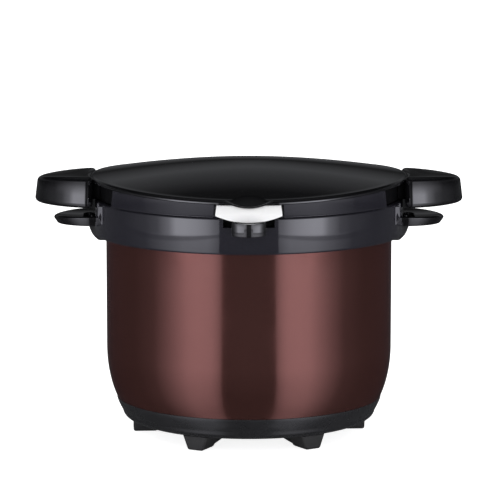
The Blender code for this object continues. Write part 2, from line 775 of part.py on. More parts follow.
def make_collar():
    collar = settle(turned("collar", collar_profile(), gloss_black))
    smooth(collar)
    seat_half = EAR_ROOT_HALF + GAP + COLLAR_EDGE
    plate_half = EAR_HALF_WIDTH + GAP
    pad_inner = collar_bore + COLLAR_EDGE
    for side, name in ((-1, "left"), (1, "right")):
        near, far = sorted((side * BODY_RADIUS, side * ear_seat))
        pad = box(f"ear_pad_{name}", (near, -seat_half - COLLAR_EDGE, ear_rib_foot - COLLAR_EDGE),
                  (far, seat_half + COLLAR_EDGE, collar_hollow_top + COLLAR_EDGE))
        core = rod(f"ear_pad_core_{name}", (0, 0, collar_bottom - COLLAR_HEIGHT), (0, 0, COLLAR_TOP),
                   pad_inner, sides=RING_STEPS)
        cut(pad, core)
        join(collar, pad)
        near, far = sorted((side * ear_seat, side * ear_reach))
        cut(collar, box(f"ear_seat_{name}", (near, -seat_half, ear_rib_foot - COLLAR_HEIGHT),
                        (far, seat_half, ear_root_top + GAP)))
        cut(collar, box(f"ear_plate_seat_{name}", (near, -plate_half, ear_low - GAP),
                        (far, plate_half, ear_top + GAP)))
        for i, place in enumerate(ear_screw_places(side)):
            along = Vector((side, 0, 0))
            cut(collar, screw_hole(f"ear_bore_{name}_{i}", place, along, EAR_SCREW_LENGTH))
            cut(collar, rod(f"ear_counterbore_{name}_{i}", place - along * (HEAD_HEIGHT + OVERRUN),
                            place + along * GAP, HEAD_RADIUS + GAP, sides=SCREW_SIDES))

    # latch pocket, undercut behind the ledge
    cut(collar, box("catch_front", (-CATCH_HALF, -collar_radius - OVERRUN, catch_floor),
                    (CATCH_HALF, -catch_ledge_face, COLLAR_TOP + OVERRUN)))
    cut(collar, box("catch_undercut", (-CATCH_HALF, -catch_ledge_face - OVERRUN, catch_floor),
                    (CATCH_HALF, -catch_back, COLLAR_TOP - CATCH_LEDGE)))

    # hinge knuckles
    first = LID_KNUCKLE_HALF + KNUCKLE_CLEAR
    last = first + KNUCKLE_WIDTH
    for side, name in ((-1, "left"), (1, "right")):
        near, far = sorted((side * first, side * last))
        arm = box(f"collar_arm_{name}", (near, collar_bore + COLLAR_WALL, COLLAR_TOP - ARM_DEPTH),
                  (far, hinge_y, COLLAR_TOP - COLLAR_EDGE))
        barrel = rod(f"collar_knuckle_{name}", (near, hinge_y, hinge_height), (far, hinge_y, hinge_height),
                     KNUCKLE_RADIUS, sides=20)
        join(collar, join(arm, barrel))
    cut(collar, rod("collar_pin_bore", (-last - OVERRUN, hinge_y, hinge_height),
                    (last + OVERRUN, hinge_y, hinge_height), PIN_RADIUS + PIN_PLAY))
    return collar


def rib_reach(height):
    fall = (ear_low - height) / EAR_RIB_DEPTH
    return ear_rib_centre + EAR_RIB_REACH * (1 - fall ** EAR_RIB_POWER) ** (1 / EAR_RIB_POWER)


def ear_root_outline():
    # side view of the ear's root: radius and height
    root = ear_seat + GAP
    sweep = ear_root_top - ear_top
    centre = root + EAR_ROOT_WALL + sweep
    points = [(root, ear_root_top)]
    points += corner_arc(centre, ear_root_top, sweep, 180, 270, 5)
    points += [(centre, ear_low)]
    for i in range(5):
        height = ear_low + (ear_rib_foot - ear_low) * i / 4
        points.append((rib_reach(height), height))
    points.append((root, ear_rib_foot))
    return points


def make_ear(side, name):
    plate_outline = superellipse(ear_centre, ear_reach - ear_centre, EAR_HALF_WIDTH, 2, 16, ear_seat + GAP)
    slot_far = slot_near + SLOT_LENGTH
    slot_outline = rounded_rectangle((slot_near, -SLOT_HALF_WIDTH), (slot_far, SLOT_HALF_WIDTH), SLOT_CORNER)
    root_outline = ear_root_outline()
    if side < 0:
        plate_outline = mirrored(plate_outline)
        slot_outline = mirrored(slot_outline)
        root_outline = mirrored(root_outline)
    ear = slab(f"ear_handle_{name}", plate_outline, ear_low, ear_top, EAR_ROUND, gloss_black)
    root = slab(f"ear_root_{name}", root_outline, -EAR_ROOT_HALF, EAR_ROOT_HALF, 0)
    root.rotation_euler.x = math.pi / 2
    slot = slab(f"ear_slot_{name}", slot_outline, ear_rib_foot - OVERRUN, ear_root_top + OVERRUN, 0)
    cut(join(ear, root), slot)
    smooth(ear)
    for i, place in enumerate(ear_screw_places(side)):
        along = Vector((side, 0, 0))
        cut(ear, screw_hole(f"ear_hole_{name}_{i}", place, along, EAR_SCREW_LENGTH))
        end = "front" if i == 0 else "back"
        machine_screw(f"ear_screw_{name}_{end}", place, along, EAR_SCREW_LENGTH)
    return ear


# Lid

def dome_share(radius):
    return min(1, radius / dome_radius) ** DOME_POWER


def saddle(x, y, z):
    # the dome and its rim lie lower in front and behind than at the sides
    square = x * x + y * y
    if square == 0:
        return x, y, z
    return x, y, z - (FRONT_DROP - SIDE_DROP) * y * y / square * dome_share(math.sqrt(square))


def scoop_cylinder(name, radius):
    # the thumb scoop's cylinder, tilted so that it rises inwards
    front = dome_radius + LIP_REACH
    middle = Vector((0, -front, scoop_low + SCOOP_RADIUS / math.cos(SCOOP_TILT)))
    along = Vector((0, math.cos(SCOOP_TILT), math.sin(SCOOP_TILT)))
    reach = SCOOP_SEAT + OVERRUN + OVERRUN
    start = middle - along * (reach + SCOOP_RADIUS / 2)
    return rod(name, start, middle + along * reach, radius, sides=RING_STEPS)


def make_lid_top():
    points = [(dome_radius * share, dome_apex - SIDE_DROP * dome_share(dome_radius * share))
              for share in DOME_RING_SHARES]
    edge = dome_apex - SIDE_DROP
    for i in range(1, 4):
        turn = math.pi / 2 * i / 3
        points.append((dome_radius + LIP_REACH * math.sin(turn),
                       edge - (LIP_DROP - LIP_EDGE) * (1 - math.cos(turn))))
    points.append((dome_radius + LIP_REACH, edge - LIP_DROP))
    top = turned("lid_top", points, gloss_black, closed=False)
    top = move_points(settle(top), saddle)
    thicken(top, LID_WALL)
    smooth(top)
    front = dome_radius + LIP_REACH
    low = scoop_low - SCOOP_WALL
    seat = box("scoop_seat", (-SCOOP_HALF, -front + GAP, low), (SCOOP_HALF, -front + SCOOP_SEAT,
               dome_apex - FRONT_DROP - GAP))
    combine(seat, scoop_cylinder("scoop_under", SCOOP_RADIUS + SCOOP_WALL), "INTERSECT")
    join(top, seat)
    cut(top, scoop_cylinder("scoop_top", SCOOP_RADIUS))
    return top


def rim_profile():
    groove_outer = gasket_radius + GASKET_WIDTH + GAP
    groove_inner = gasket_radius - GAP
    groove_top = lid_bottom + GASKET_HEIGHT
    flange_top = lid_bottom + RIM_FLANGE
    face = dome_radius + LIP_REACH
    return [(face, rim_top_side), (face + LIP_REACH / 4, lid_bottom + RIM_BEAD + RIM_CHAMFER),
            (rim_foot_radius, lid_bottom + RIM_BEAD), (rim_foot_radius, lid_bottom + RIM_CHAMFER),
            (rim_foot_radius - RIM_CHAMFER, lid_bottom),
            (groove_outer, lid_bottom), (groove_outer, groove_top), (groove_inner, groove_top),
            (groove_inner, lid_bottom), (rim_mouth, lid_bottom), (rim_mouth, flange_top),
            (rim_inner, flange_top), (rim_inner, rim_top_side)]


def saddle_rim(x, y, z):
    if z < (lid_bottom + rim_top_side) / 2:
        return x, y, z
    return x, y, z - (FRONT_DROP - SIDE_DROP) * y * y / (x * x + y * y)


def grip_screw_places(side):
    half = GRIP_SCREW_SPACING / 2
    seat = rim_inner * math.cos(math.pi / RING_STEPS) - GRIP_CLEAR / 2
    return [Vector((side * seat, y, grip_screw_height)) for y in (-half, half)]


def plate_screw_places():
    height = plug_flange_low + PLUG_WALL + GAP
    return [polar(plate_screw_circle, math.tau * (i + 0.5) / PLATE_SCREW_COUNT, height)
            for i in range(PLATE_SCREW_COUNT)]


def make_lid_rim():
    rim = turned("lid_rim", rim_profile(), gloss_black)
    rim = move_points(settle(rim), saddle_rim)
    smooth(rim)
    top = dome_apex
    low = lid_bottom - OVERRUN
    beyond = rim_foot_radius + OVERRUN
    half_angle = math.pi / RING_STEPS * RECESS_STEPS
    for middle, name in ((0, "right"), (math.pi, "left")):
        recess = [(beyond, top), (beyond, low), (recess_radius, low), (recess_radius, top)]
        cut(rim, sector(f"grip_recess_{name}", recess, half_angle, RECESS_STEPS, middle))

    # latch pocket: wide and shallow for the button, narrow and deep for the lever, open under the scoop
    wing = BUTTON_HALF_ANGLE + BUTTON_CLEAR / button_face
    pocket = [(beyond, top), (beyond, low), (button_pocket_low, low), (button_pocket_low, button_pocket_step),
              (button_pocket_high, button_pocket_step), (button_pocket_high, top)]
    cut(rim, sector("button_pocket", pocket, wing, BUTTON_STEPS, -math.pi / 2))
    half = LEVER_HALF + LEVER_CLEAR
    cut(rim, box("lever_pocket", (-half, -beyond, low), (half, -pocket_back, top)))
    front = dome_radius + LIP_REACH
    scoop_floor = scoop_low - SCOOP_WALL - LEVER_CLEAR
    cut(rim, box("scoop_room", (-SCOOP_HALF - LEVER_CLEAR, -beyond, scoop_floor),
                 (SCOOP_HALF + LEVER_CLEAR, -front + SCOOP_SEAT + OVERRUN, top)))
    cut(rim, rod("latch_pin_bore", (-LATCH_PIN_HALF - GAP, -latch_y, latch_height),
                 (LATCH_PIN_HALF + GAP, -latch_y, latch_height), LATCH_PIN_RADIUS + GAP))

    for side, name in ((-1, "left"), (1, "right")):
        for i, place in enumerate(grip_screw_places(side)):
            cut(rim, screw_hole(f"grip_bore_{name}_{i}", place, (side, 0, 0), GRIP_SCREW_LENGTH))
    for i, place in enumerate(plate_screw_places()):
        cut(rim, screw_hole(f"plate_bore_{i}", place, (0, 0, -1), PLATE_SCREW_LENGTH))

    # hinge knuckle, with room for the collar's knuckles
    reach = LID_KNUCKLE_HALF + KNUCKLE_CLEAR + KNUCKLE_WIDTH + KNUCKLE_CLEAR
    cut(rim, rod("knuckle_room", (-reach, hinge_y, hinge_height), (reach, hinge_y, hinge_height),
                 KNUCKLE_RADIUS + KNUCKLE_ROOM, sides=32))
    arm = box("lid_arm", (-LID_KNUCKLE_HALF, hinge_y - RIM_WALL, lid_bottom + GAP),
              (LID_KNUCKLE_HALF, hinge_y, lid_bottom + GAP + LID_ARM_HEIGHT))
    barrel = rod("lid_knuckle", (-LID_KNUCKLE_HALF, hinge_y, hinge_height),
                 (LID_KNUCKLE_HALF, hinge_y, hinge_height), KNUCKLE_RADIUS, sides=20)
    join(rim, join(arm, barrel))
    cut(rim, rod("lid_pin_bore", (-reach, hinge_y, hinge_height), (reach, hinge_y, hinge_height),
                 PIN_RADIUS + PIN_PLAY))
    return rim


def make_hinge_pin():
    half = LID_KNUCKLE_HALF + KNUCKLE_CLEAR + KNUCKLE_WIDTH + PIN_HEAD
    return rod("hinge_pin", (-half, hinge_y, hinge_height), (half, hinge_y, hinge_height), PIN_RADIUS, steel)


def make_gasket():
    inner = gasket_radius
    outer = inner + GASKET_WIDTH
    low = lid_bottom - GAP
    top = lid_bottom + GASKET_HEIGHT - GAP
    return turned("lid_gasket", [(outer, top), (outer, low), (inner, low), (inner, top)], silicone)


def make_underplate():
    room_top = plug_bottom + KNOB_ROOM_HEIGHT
    flange = plug_radius + PLUG_FLANGE
    points = [(flange, plug_flange_low), (plug_radius, plug_flange_low)]
    points += corner_arc(plug_radius - PLUG_CORNER, plug_bottom + PLUG_CORNER, PLUG_CORNER, 0, -90, 2)
    points += [(KNOB_ROOM_RADIUS, plug_bottom), (KNOB_ROOM_RADIUS - PLUG_CORNER, room_top), (0, room_top)]
    plate = turned_shell("lid_underplate", points, PLUG_WALL, satin_black)
    for i, place in enumerate(plate_screw_places()):
        cut(plate, screw_hole(f"underplate_hole_{i}", place, (0, 0, -1), PLATE_SCREW_LENGTH))
    screws = [machine_screw(f"plate_screw_{i + 1}", place, (0, 0, -1), PLATE_SCREW_LENGTH)
              for i, place in enumerate(plate_screw_places())]
    return [plate, *screws]


def make_insulation():
    outer = plug_radius - PLUG_WALL - GAP - GAP
    low = plug_bottom + PLUG_WALL + GAP
    room_top = plug_bottom + KNOB_ROOM_HEIGHT + PLUG_WALL + GAP
    room = KNOB_ROOM_RADIUS + PLUG_WALL + GAP
    head = dome_apex - LID_WALL - PLUG_WALL
    points = [(outer * share, head - FRONT_DROP * dome_share(outer * share)) for share in (0, 0.35, 0.7, 1)]
    points += [(outer, low + PLUG_CORNER), (outer - PLUG_CORNER, low), (room, low), (room, room_top)]
    points += [(0, room_top)]
    return turned("lid_insulation", points, foam, closed=False, steps=INNER_STEPS)


def make_grip(side, name):
    # a D-shaped block whose inner face follows the lid, on a neck that reaches the rim
    outline = superellipse(grip_centre, grip_reach - grip_centre, GRIP_HALF_WIDTH, GRIP_POWER, 20,
                           grip_centre - GRIP_ROUND)
    if side < 0:
        outline = mirrored(outline)
    grip = slab(f"lid_handle_{name}", outline, grip_low, grip_top, GRIP_ROUND, gloss_black)
    middle = (grip_low + grip_top) / 2

    def draft(x, y, z):
        # object space: z runs from the block's middle height
        lean = GRIP_DRAFT * (z / (grip_top - middle)) * (abs(x) - grip_centre) / (grip_reach - grip_centre)
        return x - side * max(0, lean), y, z

    move_points(grip, draft)
    inner = dome_radius + LIP_REACH + GRIP_CLEAR
    cut(grip, rod(f"grip_inner_{name}", (0, 0, grip_low - OVERRUN), (0, 0, grip_top + OVERRUN), inner,
                  sides=RING_STEPS))
    near, far = sorted((side * grip_centre, side * (inner + GRIP_ROUND)))
    neck = box(f"grip_neck_{name}", (near, -NECK_HALF_WIDTH, neck_low), (far, NECK_HALF_WIDTH, neck_top))
    cut(neck, rod(f"neck_root_{name}", (0, 0, grip_low - OVERRUN), (0, 0, grip_top + OVERRUN),
                  recess_radius + GAP, sides=RING_STEPS))
    join(grip, neck)
    pocket = rounded_rectangle((grip_pocket_near, -GRIP_POCKET_HALF), (grip_pocket_far, GRIP_POCKET_HALF),
                               GRIP_ROUND)
    if side < 0:
        pocket = mirrored(pocket)
    cut(grip, slab(f"grip_pocket_{name}", pocket, grip_low - OVERRUN, grip_low + GRIP_POCKET_DEPTH, 0))
    smooth(grip)
    pieces = [grip]
    for i, place in enumerate(grip_screw_places(side)):
        cut(grip, screw_hole(f"grip_hole_{name}_{i}", place, (side, 0, 0), GRIP_SCREW_LENGTH))
        end = "front" if i == 0 else "back"
        pieces.append(machine_screw(f"grip_screw_{name}_{end}", place, (side, 0, 0), GRIP_SCREW_LENGTH))
    return pieces


# Latch

def button_foot_arc(name, radius, back):
    # the cylinder whose lowest line is the middle of the button's curved lower edge
    middle = button_foot + BUTTON_FOOT_ARC
    return rod(name, (0, -tab_nose - OVERRUN, middle), (0, -back, middle), radius, sides=96)


def make_button():
    face = [(button_top_face, button_top), (button_face, button_brow), (button_face, button_foot),
            (button_face - BUTTON_WALL, button_foot), (button_face - BUTTON_WALL, button_brow),
            (button_top_face - BUTTON_TOP_WALL, button_top)]
    button = sector("latch_button", face, BUTTON_HALF_ANGLE, BUTTON_STEPS, -math.pi / 2, white_plastic)
    combine(button, button_foot_arc("button_foot", BUTTON_FOOT_ARC, lug_back), "INTERSECT")
    cut(button, scoop_cylinder("button_scoop", SCOOP_RADIUS + SCOOP_WALL + LEVER_CLEAR))
    return smooth(button)


def make_lever():
    tab_outline = []
    for i in range(13):
        turn = math.pi + math.pi * i / 12
        x = math.copysign(abs(math.cos(turn)) ** (2 / TAB_POWER), math.cos(turn)) * LEVER_HALF
        y = tab_back + (tab_nose - tab_back) * abs(math.sin(turn)) ** (2 / TAB_POWER)
        tab_outline.append((x, -y))
    seam = arm_front - GAP
    tab_outline.append((LEVER_HALF, GAP - seam))
    tab_outline.append((-LEVER_HALF, GAP - seam))
    lever = slab("latch_lever", tab_outline, tab_foot, tab_top, TAB_ROUND, gloss_black)
    cut(lever, button_foot_arc("tab_top_arc", BUTTON_FOOT_ARC + GAP, seam))
    # side view of the arm behind the button and the lugs round the pin
    arm_back = arm_front - ARM_WALL
    arm_low = (claw_low + claw_top) / 2
    arm_outline = [(-arm_front, arm_low), (-arm_back, arm_low), (-arm_back, lug_low), (-lug_back, lug_low),
                   (-lug_back, lug_top), (-arm_front, lug_top)]
    half = LEVER_HALF - LEVER_CLEAR
    arm = slab("lever_arm", arm_outline, -half, half, 0)
    arm.rotation_euler = (math.pi / 2, 0, math.pi / 2)
    slot = box("spring_slot", (-SPRING_ROOM_HALF, -latch_y - SPRING_ROOM, latch_height - SPRING_ROOM),
               (SPRING_ROOM_HALF, -lug_back + OVERRUN, lug_top + OVERRUN))
    claw = box("lever_claw", (-CLAW_HALF, -tab_back, claw_low), (CLAW_HALF, -claw_tip, claw_top))
    join(lever, arm, claw)
    cut(lever, slot)
    cut(lever, rod("lever_pin_bore", (-LATCH_PIN_HALF, -latch_y, latch_height),
                   (LATCH_PIN_HALF, -latch_y, latch_height), LATCH_PIN_RADIUS + PIN_PLAY))
    return smooth(lever)


def make_latch_spring():
    curve = bpy.data.curves.new("latch_spring", "CURVE")
    curve.dimensions = "3D"
    curve.bevel_depth = SPRING_WIRE / 2
    curve.bevel_resolution = 1
    curve.use_fill_caps = True
    half = SPRING_PITCH * SPRING_TURNS / 2
    places = []
    for i in range(int(SPRING_TURNS * SPRING_POINTS) + 1):
        turn = math.tau * i / SPRING_POINTS
        places.append((-half + SPRING_PITCH * i / SPRING_POINTS, -SPRING_RADIUS * math.cos(turn),
                       -SPRING_RADIUS * math.sin(turn)))
    places.insert(0, (-half, -SPRING_RADIUS, SPRING_LEG))
    places.append((half, SPRING_RADIUS, SPRING_LEG))
    line = curve.splines.new("POLY")
    line.points.add(len(places) - 1)
    for point, place in zip(line.points, places):
        point.co = (*place, 1)
    obj = bpy.data.objects.new("latch_spring", curve)
    obj.location = (0, -latch_y, latch_height)
    return settle(link(obj, steel))


def make_latch_pin():
    return rod("latch_pin", (-LATCH_PIN_HALF, -latch_y, latch_height),
               (LATCH_PIN_HALF, -latch_y, latch_height), LATCH_PIN_RADIUS, steel, 12)


# Cooking pot

def make_pot():
    lip = pot_outer + POT_LIP
    inside = [(lip, pot_rim - POT_LIP), (lip, pot_rim), (pot_radius, pot_rim)]
    inside += corner_arc(pot_radius - POT_CORNER, pot_floor + POT_CORNER, POT_CORNER, 0, -90, 4)
    inside += [(0, pot_floor)]
    body = smooth(turned_shell("pot_body", inside[1:], POT_WALL, steel, outwards=True))
    top = pot_floor - POT_WALL - GAP
    edge = POT_WALL
    plate = [(0, top), (disc_radius, top), (disc_radius, top - DISC_WALL + edge),
             (disc_radius - edge, top - DISC_WALL), (0, top - DISC_WALL)]
    disc = turned("pot_base_disc", plate, aluminium, closed=False, steps=INNER_STEPS)
    pieces = [body, disc]
    for middle, name in ((math.pi, "left"), (0, "right")):
        pieces += make_pot_handle(middle, name)
    return pieces


def on_wire_circle(turn, height):
    return (wire_circle * math.cos(turn), wire_circle * math.sin(turn), height)


def make_pot_handle(middle, name):
    top = pot_rim + WIRE_RISE
    foot = pot_rim - WIRE_FOOT
    corner = WIRE_CORNER / wire_circle
    places = [on_wire_circle(middle - WIRE_HALF_ANGLE, foot)]
    for i in range(5):
        turn = math.pi / 2 * i / 4
        places.append(on_wire_circle(middle - WIRE_HALF_ANGLE + corner * (1 - math.cos(turn)),
                                     top - WIRE_CORNER * (1 - math.sin(turn))))
    places += [on_wire_circle(middle + (WIRE_HALF_ANGLE - corner) * share, top) for share in (-0.5, 0, 0.5)]
    for i in range(5):
        turn = math.pi / 2 * i / 4
        places.append(on_wire_circle(middle + WIRE_HALF_ANGLE - corner * (1 - math.sin(turn)),
                                     top - WIRE_CORNER * (1 - math.cos(turn))))
    places.append(on_wire_circle(middle + WIRE_HALF_ANGLE, foot))
    curve = bpy.data.curves.new(f"pot_handle_{name}", "CURVE")
    curve.dimensions = "3D"
    curve.bevel_depth = WIRE_RADIUS
    curve.bevel_resolution = 2
    curve.use_fill_caps = True
    line = curve.splines.new("POLY")
    line.points.add(len(places) - 1)
    for point, place in zip(line.points, places):
        point.co = (*place, 1)
    handle = settle(link(bpy.data.objects.new(f"pot_handle_{name}", curve), steel))

    bracket_top = pot_rim - WIRE_FOOT + BRACKET_HEIGHT
    low = pot_rim - WIRE_FOOT - GAP
    inner = pot_outer + GAP
    outer = inner + BRACKET_WALL
    strip = [(outer, bracket_top), (outer, low), (inner, low), (inner, bracket_top)]
    spread = WIRE_HALF_ANGLE + 3 * WIRE_RADIUS / wire_circle
    bracket = sector(f"pot_bracket_{name}", strip, spread, BRACKET_STEPS, middle, steel)
    ends = [middle - WIRE_HALF_ANGLE, middle + WIRE_HALF_ANGLE]
    for i, turn in enumerate(ends):
        ends_at = (on_wire_circle(turn, low + GAP), on_wire_circle(turn, bracket_top - GAP))
        sleeve = rod(f"sleeve_{name}_{i}", *ends_at, WIRE_RADIUS + GAP + SLEEVE_WALL, sides=12)
        join(bracket, sleeve)
    for i, turn in enumerate(ends):
        cut(bracket, rod(f"sleeve_bore_{name}_{i}", on_wire_circle(turn, low - OVERRUN),
                         on_wire_circle(turn, bracket_top + OVERRUN), WIRE_RADIUS + GAP, sides=12))
    return [handle, bracket]


def make_pot_lid():
    flange = pot_outer + POT_LIP - POT_LID_REACH
    skirt = pot_radius - POT_LID_PLAY - POT_LID_WALL
    low = pot_lid_low + POT_LID_WALL
    groove = low - POT_LID_SKIRT
    points = [(0, pot_lid_top)]
    points += [((skirt - POT_LID_GROOVE) * share, pot_lid_top + (groove - pot_lid_top) * share * share)
               for share in POT_LID_SHARES]
    points += [(skirt, groove), (skirt, low), (flange, low)]
    lid = turned_shell("pot_lid", points, POT_LID_WALL, steel, steps=INNER_STEPS)
    hole = SHANK_RADIUS + GAP
    cut(lid, rod("knob_screw_hole", (0, 0, pot_lid_low - OVERRUN), (0, 0, pot_lid_top + OVERRUN), hole,
                 sides=SCREW_SIDES))
    smooth(lid)
    foot = pot_lid_top + GAP
    profile = [(0, foot + KNOB_HEIGHT)]
    profile += [(radius, foot + KNOB_HEIGHT * share) for radius, share in zip(KNOB_RADII, KNOB_HEIGHT_SHARES)]
    profile += [(0, foot)]
    knob = turned("pot_lid_knob", profile, satin_black, closed=False, steps=KNOB_STEPS)
    smooth(knob)
    seat = (0, 0, pot_lid_top - POT_LID_WALL - GAP)
    cut(knob, screw_hole("knob_hole", seat, (0, 0, 1), KNOB_SCREW_LENGTH))
    screw = machine_screw("knob_screw", seat, (0, 0, 1), KNOB_SCREW_LENGTH)
    return [lid, knob, screw]


make_vessel()
make_collar_seal()
make_base()
make_collar()
make_hinge_pin()
for ear_side, ear_name in ((-1, "left"), (1, "right")):
    make_ear(ear_side, ear_name)

lid_axis = joint_empty("lid_axis", (0, hinge_y, hinge_height))
carry(lid_axis, make_lid_top(), make_lid_rim(), make_gasket(), make_insulation(), *make_underplate())
for grip_side, grip_name in ((-1, "left"), (1, "right")):
    carry(lid_axis, *make_grip(grip_side, grip_name))
carry(lid_axis, make_latch_pin(), make_latch_spring())

latch_axis = joint_empty("latch_axis", (0, -latch_y, latch_height))
carry(latch_axis, make_button(), make_lever())

pot_axis = joint_empty("pot_axis", (0, 0, liner_floor))
carry(pot_axis, *make_pot())
pot_lid_axis = joint_empty("pot_lid_axis", (0, 0, pot_rim))
carry(pot_lid_axis, *make_pot_lid())
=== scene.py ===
from math import atan2, copysign, cos, degrees, dist, hypot, pi, radians, sin, sqrt, tan, tau

import bmesh
import bpy
from mathutils import Matrix, Vector


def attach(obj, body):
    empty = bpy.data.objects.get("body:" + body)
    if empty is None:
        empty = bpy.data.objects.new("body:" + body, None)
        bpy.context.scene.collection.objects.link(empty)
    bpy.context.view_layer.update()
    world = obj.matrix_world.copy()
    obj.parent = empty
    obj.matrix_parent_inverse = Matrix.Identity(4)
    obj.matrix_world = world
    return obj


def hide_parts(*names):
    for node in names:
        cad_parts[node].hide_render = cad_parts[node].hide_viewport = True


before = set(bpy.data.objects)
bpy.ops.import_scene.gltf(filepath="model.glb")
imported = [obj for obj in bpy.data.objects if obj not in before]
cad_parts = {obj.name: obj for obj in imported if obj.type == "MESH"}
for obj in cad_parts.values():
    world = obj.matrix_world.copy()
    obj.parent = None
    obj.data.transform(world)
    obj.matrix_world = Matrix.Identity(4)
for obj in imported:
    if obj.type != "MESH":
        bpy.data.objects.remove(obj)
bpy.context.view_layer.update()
print("cooker: frame loaded")

ringSteps = 180          # faces round the vessel and the lid
smallSteps = 40          # faces round knobs, pins and screws
beyond = 0.006           # how far a cutting shape runs past what it cuts
margin = 0.0006          # how near a wall a face still counts as part of it
together = 0.000004      # points nearer than this are merged
standing = Matrix(((0, 0, 1, 0), (1, 0, 0, 0), (0, 1, 0, 0), (0, 0, 0, 1)))      # outline to YZ plane


# mesh helpers: every piece ends as one mesh at the origin

class Sizes(dict):
    # a dictionary whose values are also read as attributes
    __getattr__ = dict.__getitem__


def show(name, data):
    thing = bpy.data.objects.new(name, data)
    bpy.context.scene.collection.objects.link(thing)
    return thing


def pour(shape, mesh):
    shape.to_mesh(mesh)
    shape.free()
    mesh.shade_smooth()
    mesh.set_sharp_from_angle(angle=radians(34))
    return mesh


def newPiece(name, shape, finish=None):
    mesh = pour(shape, bpy.data.meshes.new(name))
    if finish:
        mesh.materials.append(finish)
    return show(name, mesh)


def shownMesh(piece):
    # the mesh with its live modifiers worked in
    bpy.context.view_layer.update()
    return bpy.data.meshes.new_from_object(piece.evaluated_get(bpy.context.evaluated_depsgraph_get()))


def settle(piece):
    # live modifiers become the mesh itself
    mesh = shownMesh(piece)
    shape = bmesh.new()
    shape.from_mesh(mesh)
    bmesh.ops.remove_doubles(shape, verts=shape.verts, dist=together)
    bmesh.ops.dissolve_degenerate(shape, edges=shape.edges, dist=together)
    piece.modifiers.clear()
    piece.data = pour(shape, mesh)
    return piece


def combine(piece, others, operation):
    for other in others:
        step = piece.modifiers.new("combine", "BOOLEAN")
        step.operation = operation
        step.solver = "EXACT"
        step.object = other
    settle(piece)
    for other in others:
        bpy.data.objects.remove(other, do_unlink=True)
    return piece


def carve(piece, *others):
    return combine(piece, others, "DIFFERENCE")


def fuse(piece, *others):
    return combine(piece, others, "UNION")


def arc(centreR, centreZ, reach, first, last, count, rise=None):
    # points round part of a circle, or of an oval with its own rise
    turns = [radians(first + (last - first) * i / count) for i in range(count + 1)]
    return [(centreR + reach * cos(turn), centreZ + (rise or reach) * sin(turn)) for turn in turns]


def spinProfile(points, closed=False, steps=ringSteps, angle=tau, start=0):
    # a line of (radius, height) points turned round Z
    shape = bmesh.new()
    line = [shape.verts.new((radius, 0, height)) for radius, height in points]
    rims = [shape.edges.new(pair) for pair in zip(line, line[1:])]
    if closed:
        rims.append(shape.edges.new((line[-1], line[0])))
    bmesh.ops.rotate(shape, verts=line, cent=(0, 0, 0), matrix=Matrix.Rotation(start, 3, "Z"))
    bmesh.ops.spin(shape, geom=line + rims, cent=(0, 0, 0), axis=(0, 0, 1), angle=angle, steps=steps,
                   use_merge=angle == tau)
    bmesh.ops.remove_doubles(shape, verts=shape.verts, dist=together / 2)
    if angle < tau:
        bmesh.ops.holes_fill(shape, edges=shape.edges, sides=0)
    bmesh.ops.recalc_face_normals(shape, faces=shape.faces)
    return shape


def turned(name, points, finish):
    return newPiece(name, spinProfile(points, True), finish)


def turnedShell(name, points, wall, finish, outwards=False, rule=None):
    # the wall lies behind the line as it runs down an outside, or in front of it with outwards
    shape = spinProfile(points)
    (firstR, firstZ), (lastR, lastZ) = max(zip(points, points[1:]), key=lambda pair: dist(*pair))
    ahead = Vector((firstZ - lastZ, lastR - firstR))
    spot = Vector((firstR + lastR, firstZ + lastZ)) / 2

    def away(face):
        middle = face.calc_center_median()
        return (Vector((middle.xy.length, middle.z)) - spot).length

    nearest = min(shape.faces, key=away)
    radial = nearest.calc_center_median().xy.normalized()
    if Vector((nearest.normal.xy.dot(radial), nearest.normal.z)).dot(ahead) < 0:
        bmesh.ops.reverse_faces(shape, faces=shape.faces)
    if rule:
        bend(shape, rule)
    piece = newPiece(name, shape, finish)
    shell = piece.modifiers.new("wall", "SOLIDIFY")
    shell.thickness = wall
    shell.offset = 1 if outwards else -1
    shell.use_even_offset = True
    return settle(piece)


def bend(shape, rule):
    for vert in shape.verts:
        vert.co = rule(*vert.co)


def wedge(points, halfAngle, middle, steps, name="wedge", finish=None):
    # a slice of a turned ring
    return newPiece(name, spinProfile(points, True, steps, halfAngle * 2, middle - halfAngle), finish)


def block(low, high):
    shape = bmesh.new()
    size = Vector(high) - Vector(low)
    spot = Matrix.Translation((Vector(low) + Vector(high)) / 2)
    bmesh.ops.create_cube(shape, size=1, matrix=spot @ Matrix.Diagonal((*size, 1)))
    return newPiece("block", shape)


def beam(near, far, half, low, high):
    # a block along X, centred on Y
    return block((near, -half, low), (far, half, high))


def plank(half, near, far, low, high):
    # a block along Y, centred on X
    return block((-half, near, low), (half, far, high))


def bar(start, end, radius, sides=smallSteps, name="bar", finish=None):
    start, end = Vector(start), Vector(end)
    turn = (end - start).to_track_quat("Z", "Y").to_matrix().to_4x4()
    shape = bmesh.new()
    bmesh.ops.create_cone(shape, cap_ends=True, segments=sides, radius1=radius, radius2=radius,
                          depth=(end - start).length, matrix=Matrix.Translation((start + end) / 2) @ turn)
    return newPiece(name, shape, finish)


def crossBar(half, axis, radius, **others):
    # a round bar along X through a (Y, Z) place
    return bar((-half, *axis), (half, *axis), radius, **others)


def polar(radius, angle, height):
    # angle in radians from the front, towards +X
    return Vector((radius * sin(angle), -radius * cos(angle), height))


def post(circle, turn, low, high, radius, **others):
    # an upright round bar on a circle round the vessel's axis
    return bar(polar(circle, turn, low), polar(circle, turn, high), radius, **others)


def drawLine(curve, path):
    line = curve.splines.new("POLY")
    line.points.add(len(path) - 1)
    for point, spot in zip(line.points, path):
        point.co = (*spot, 1)
    return line


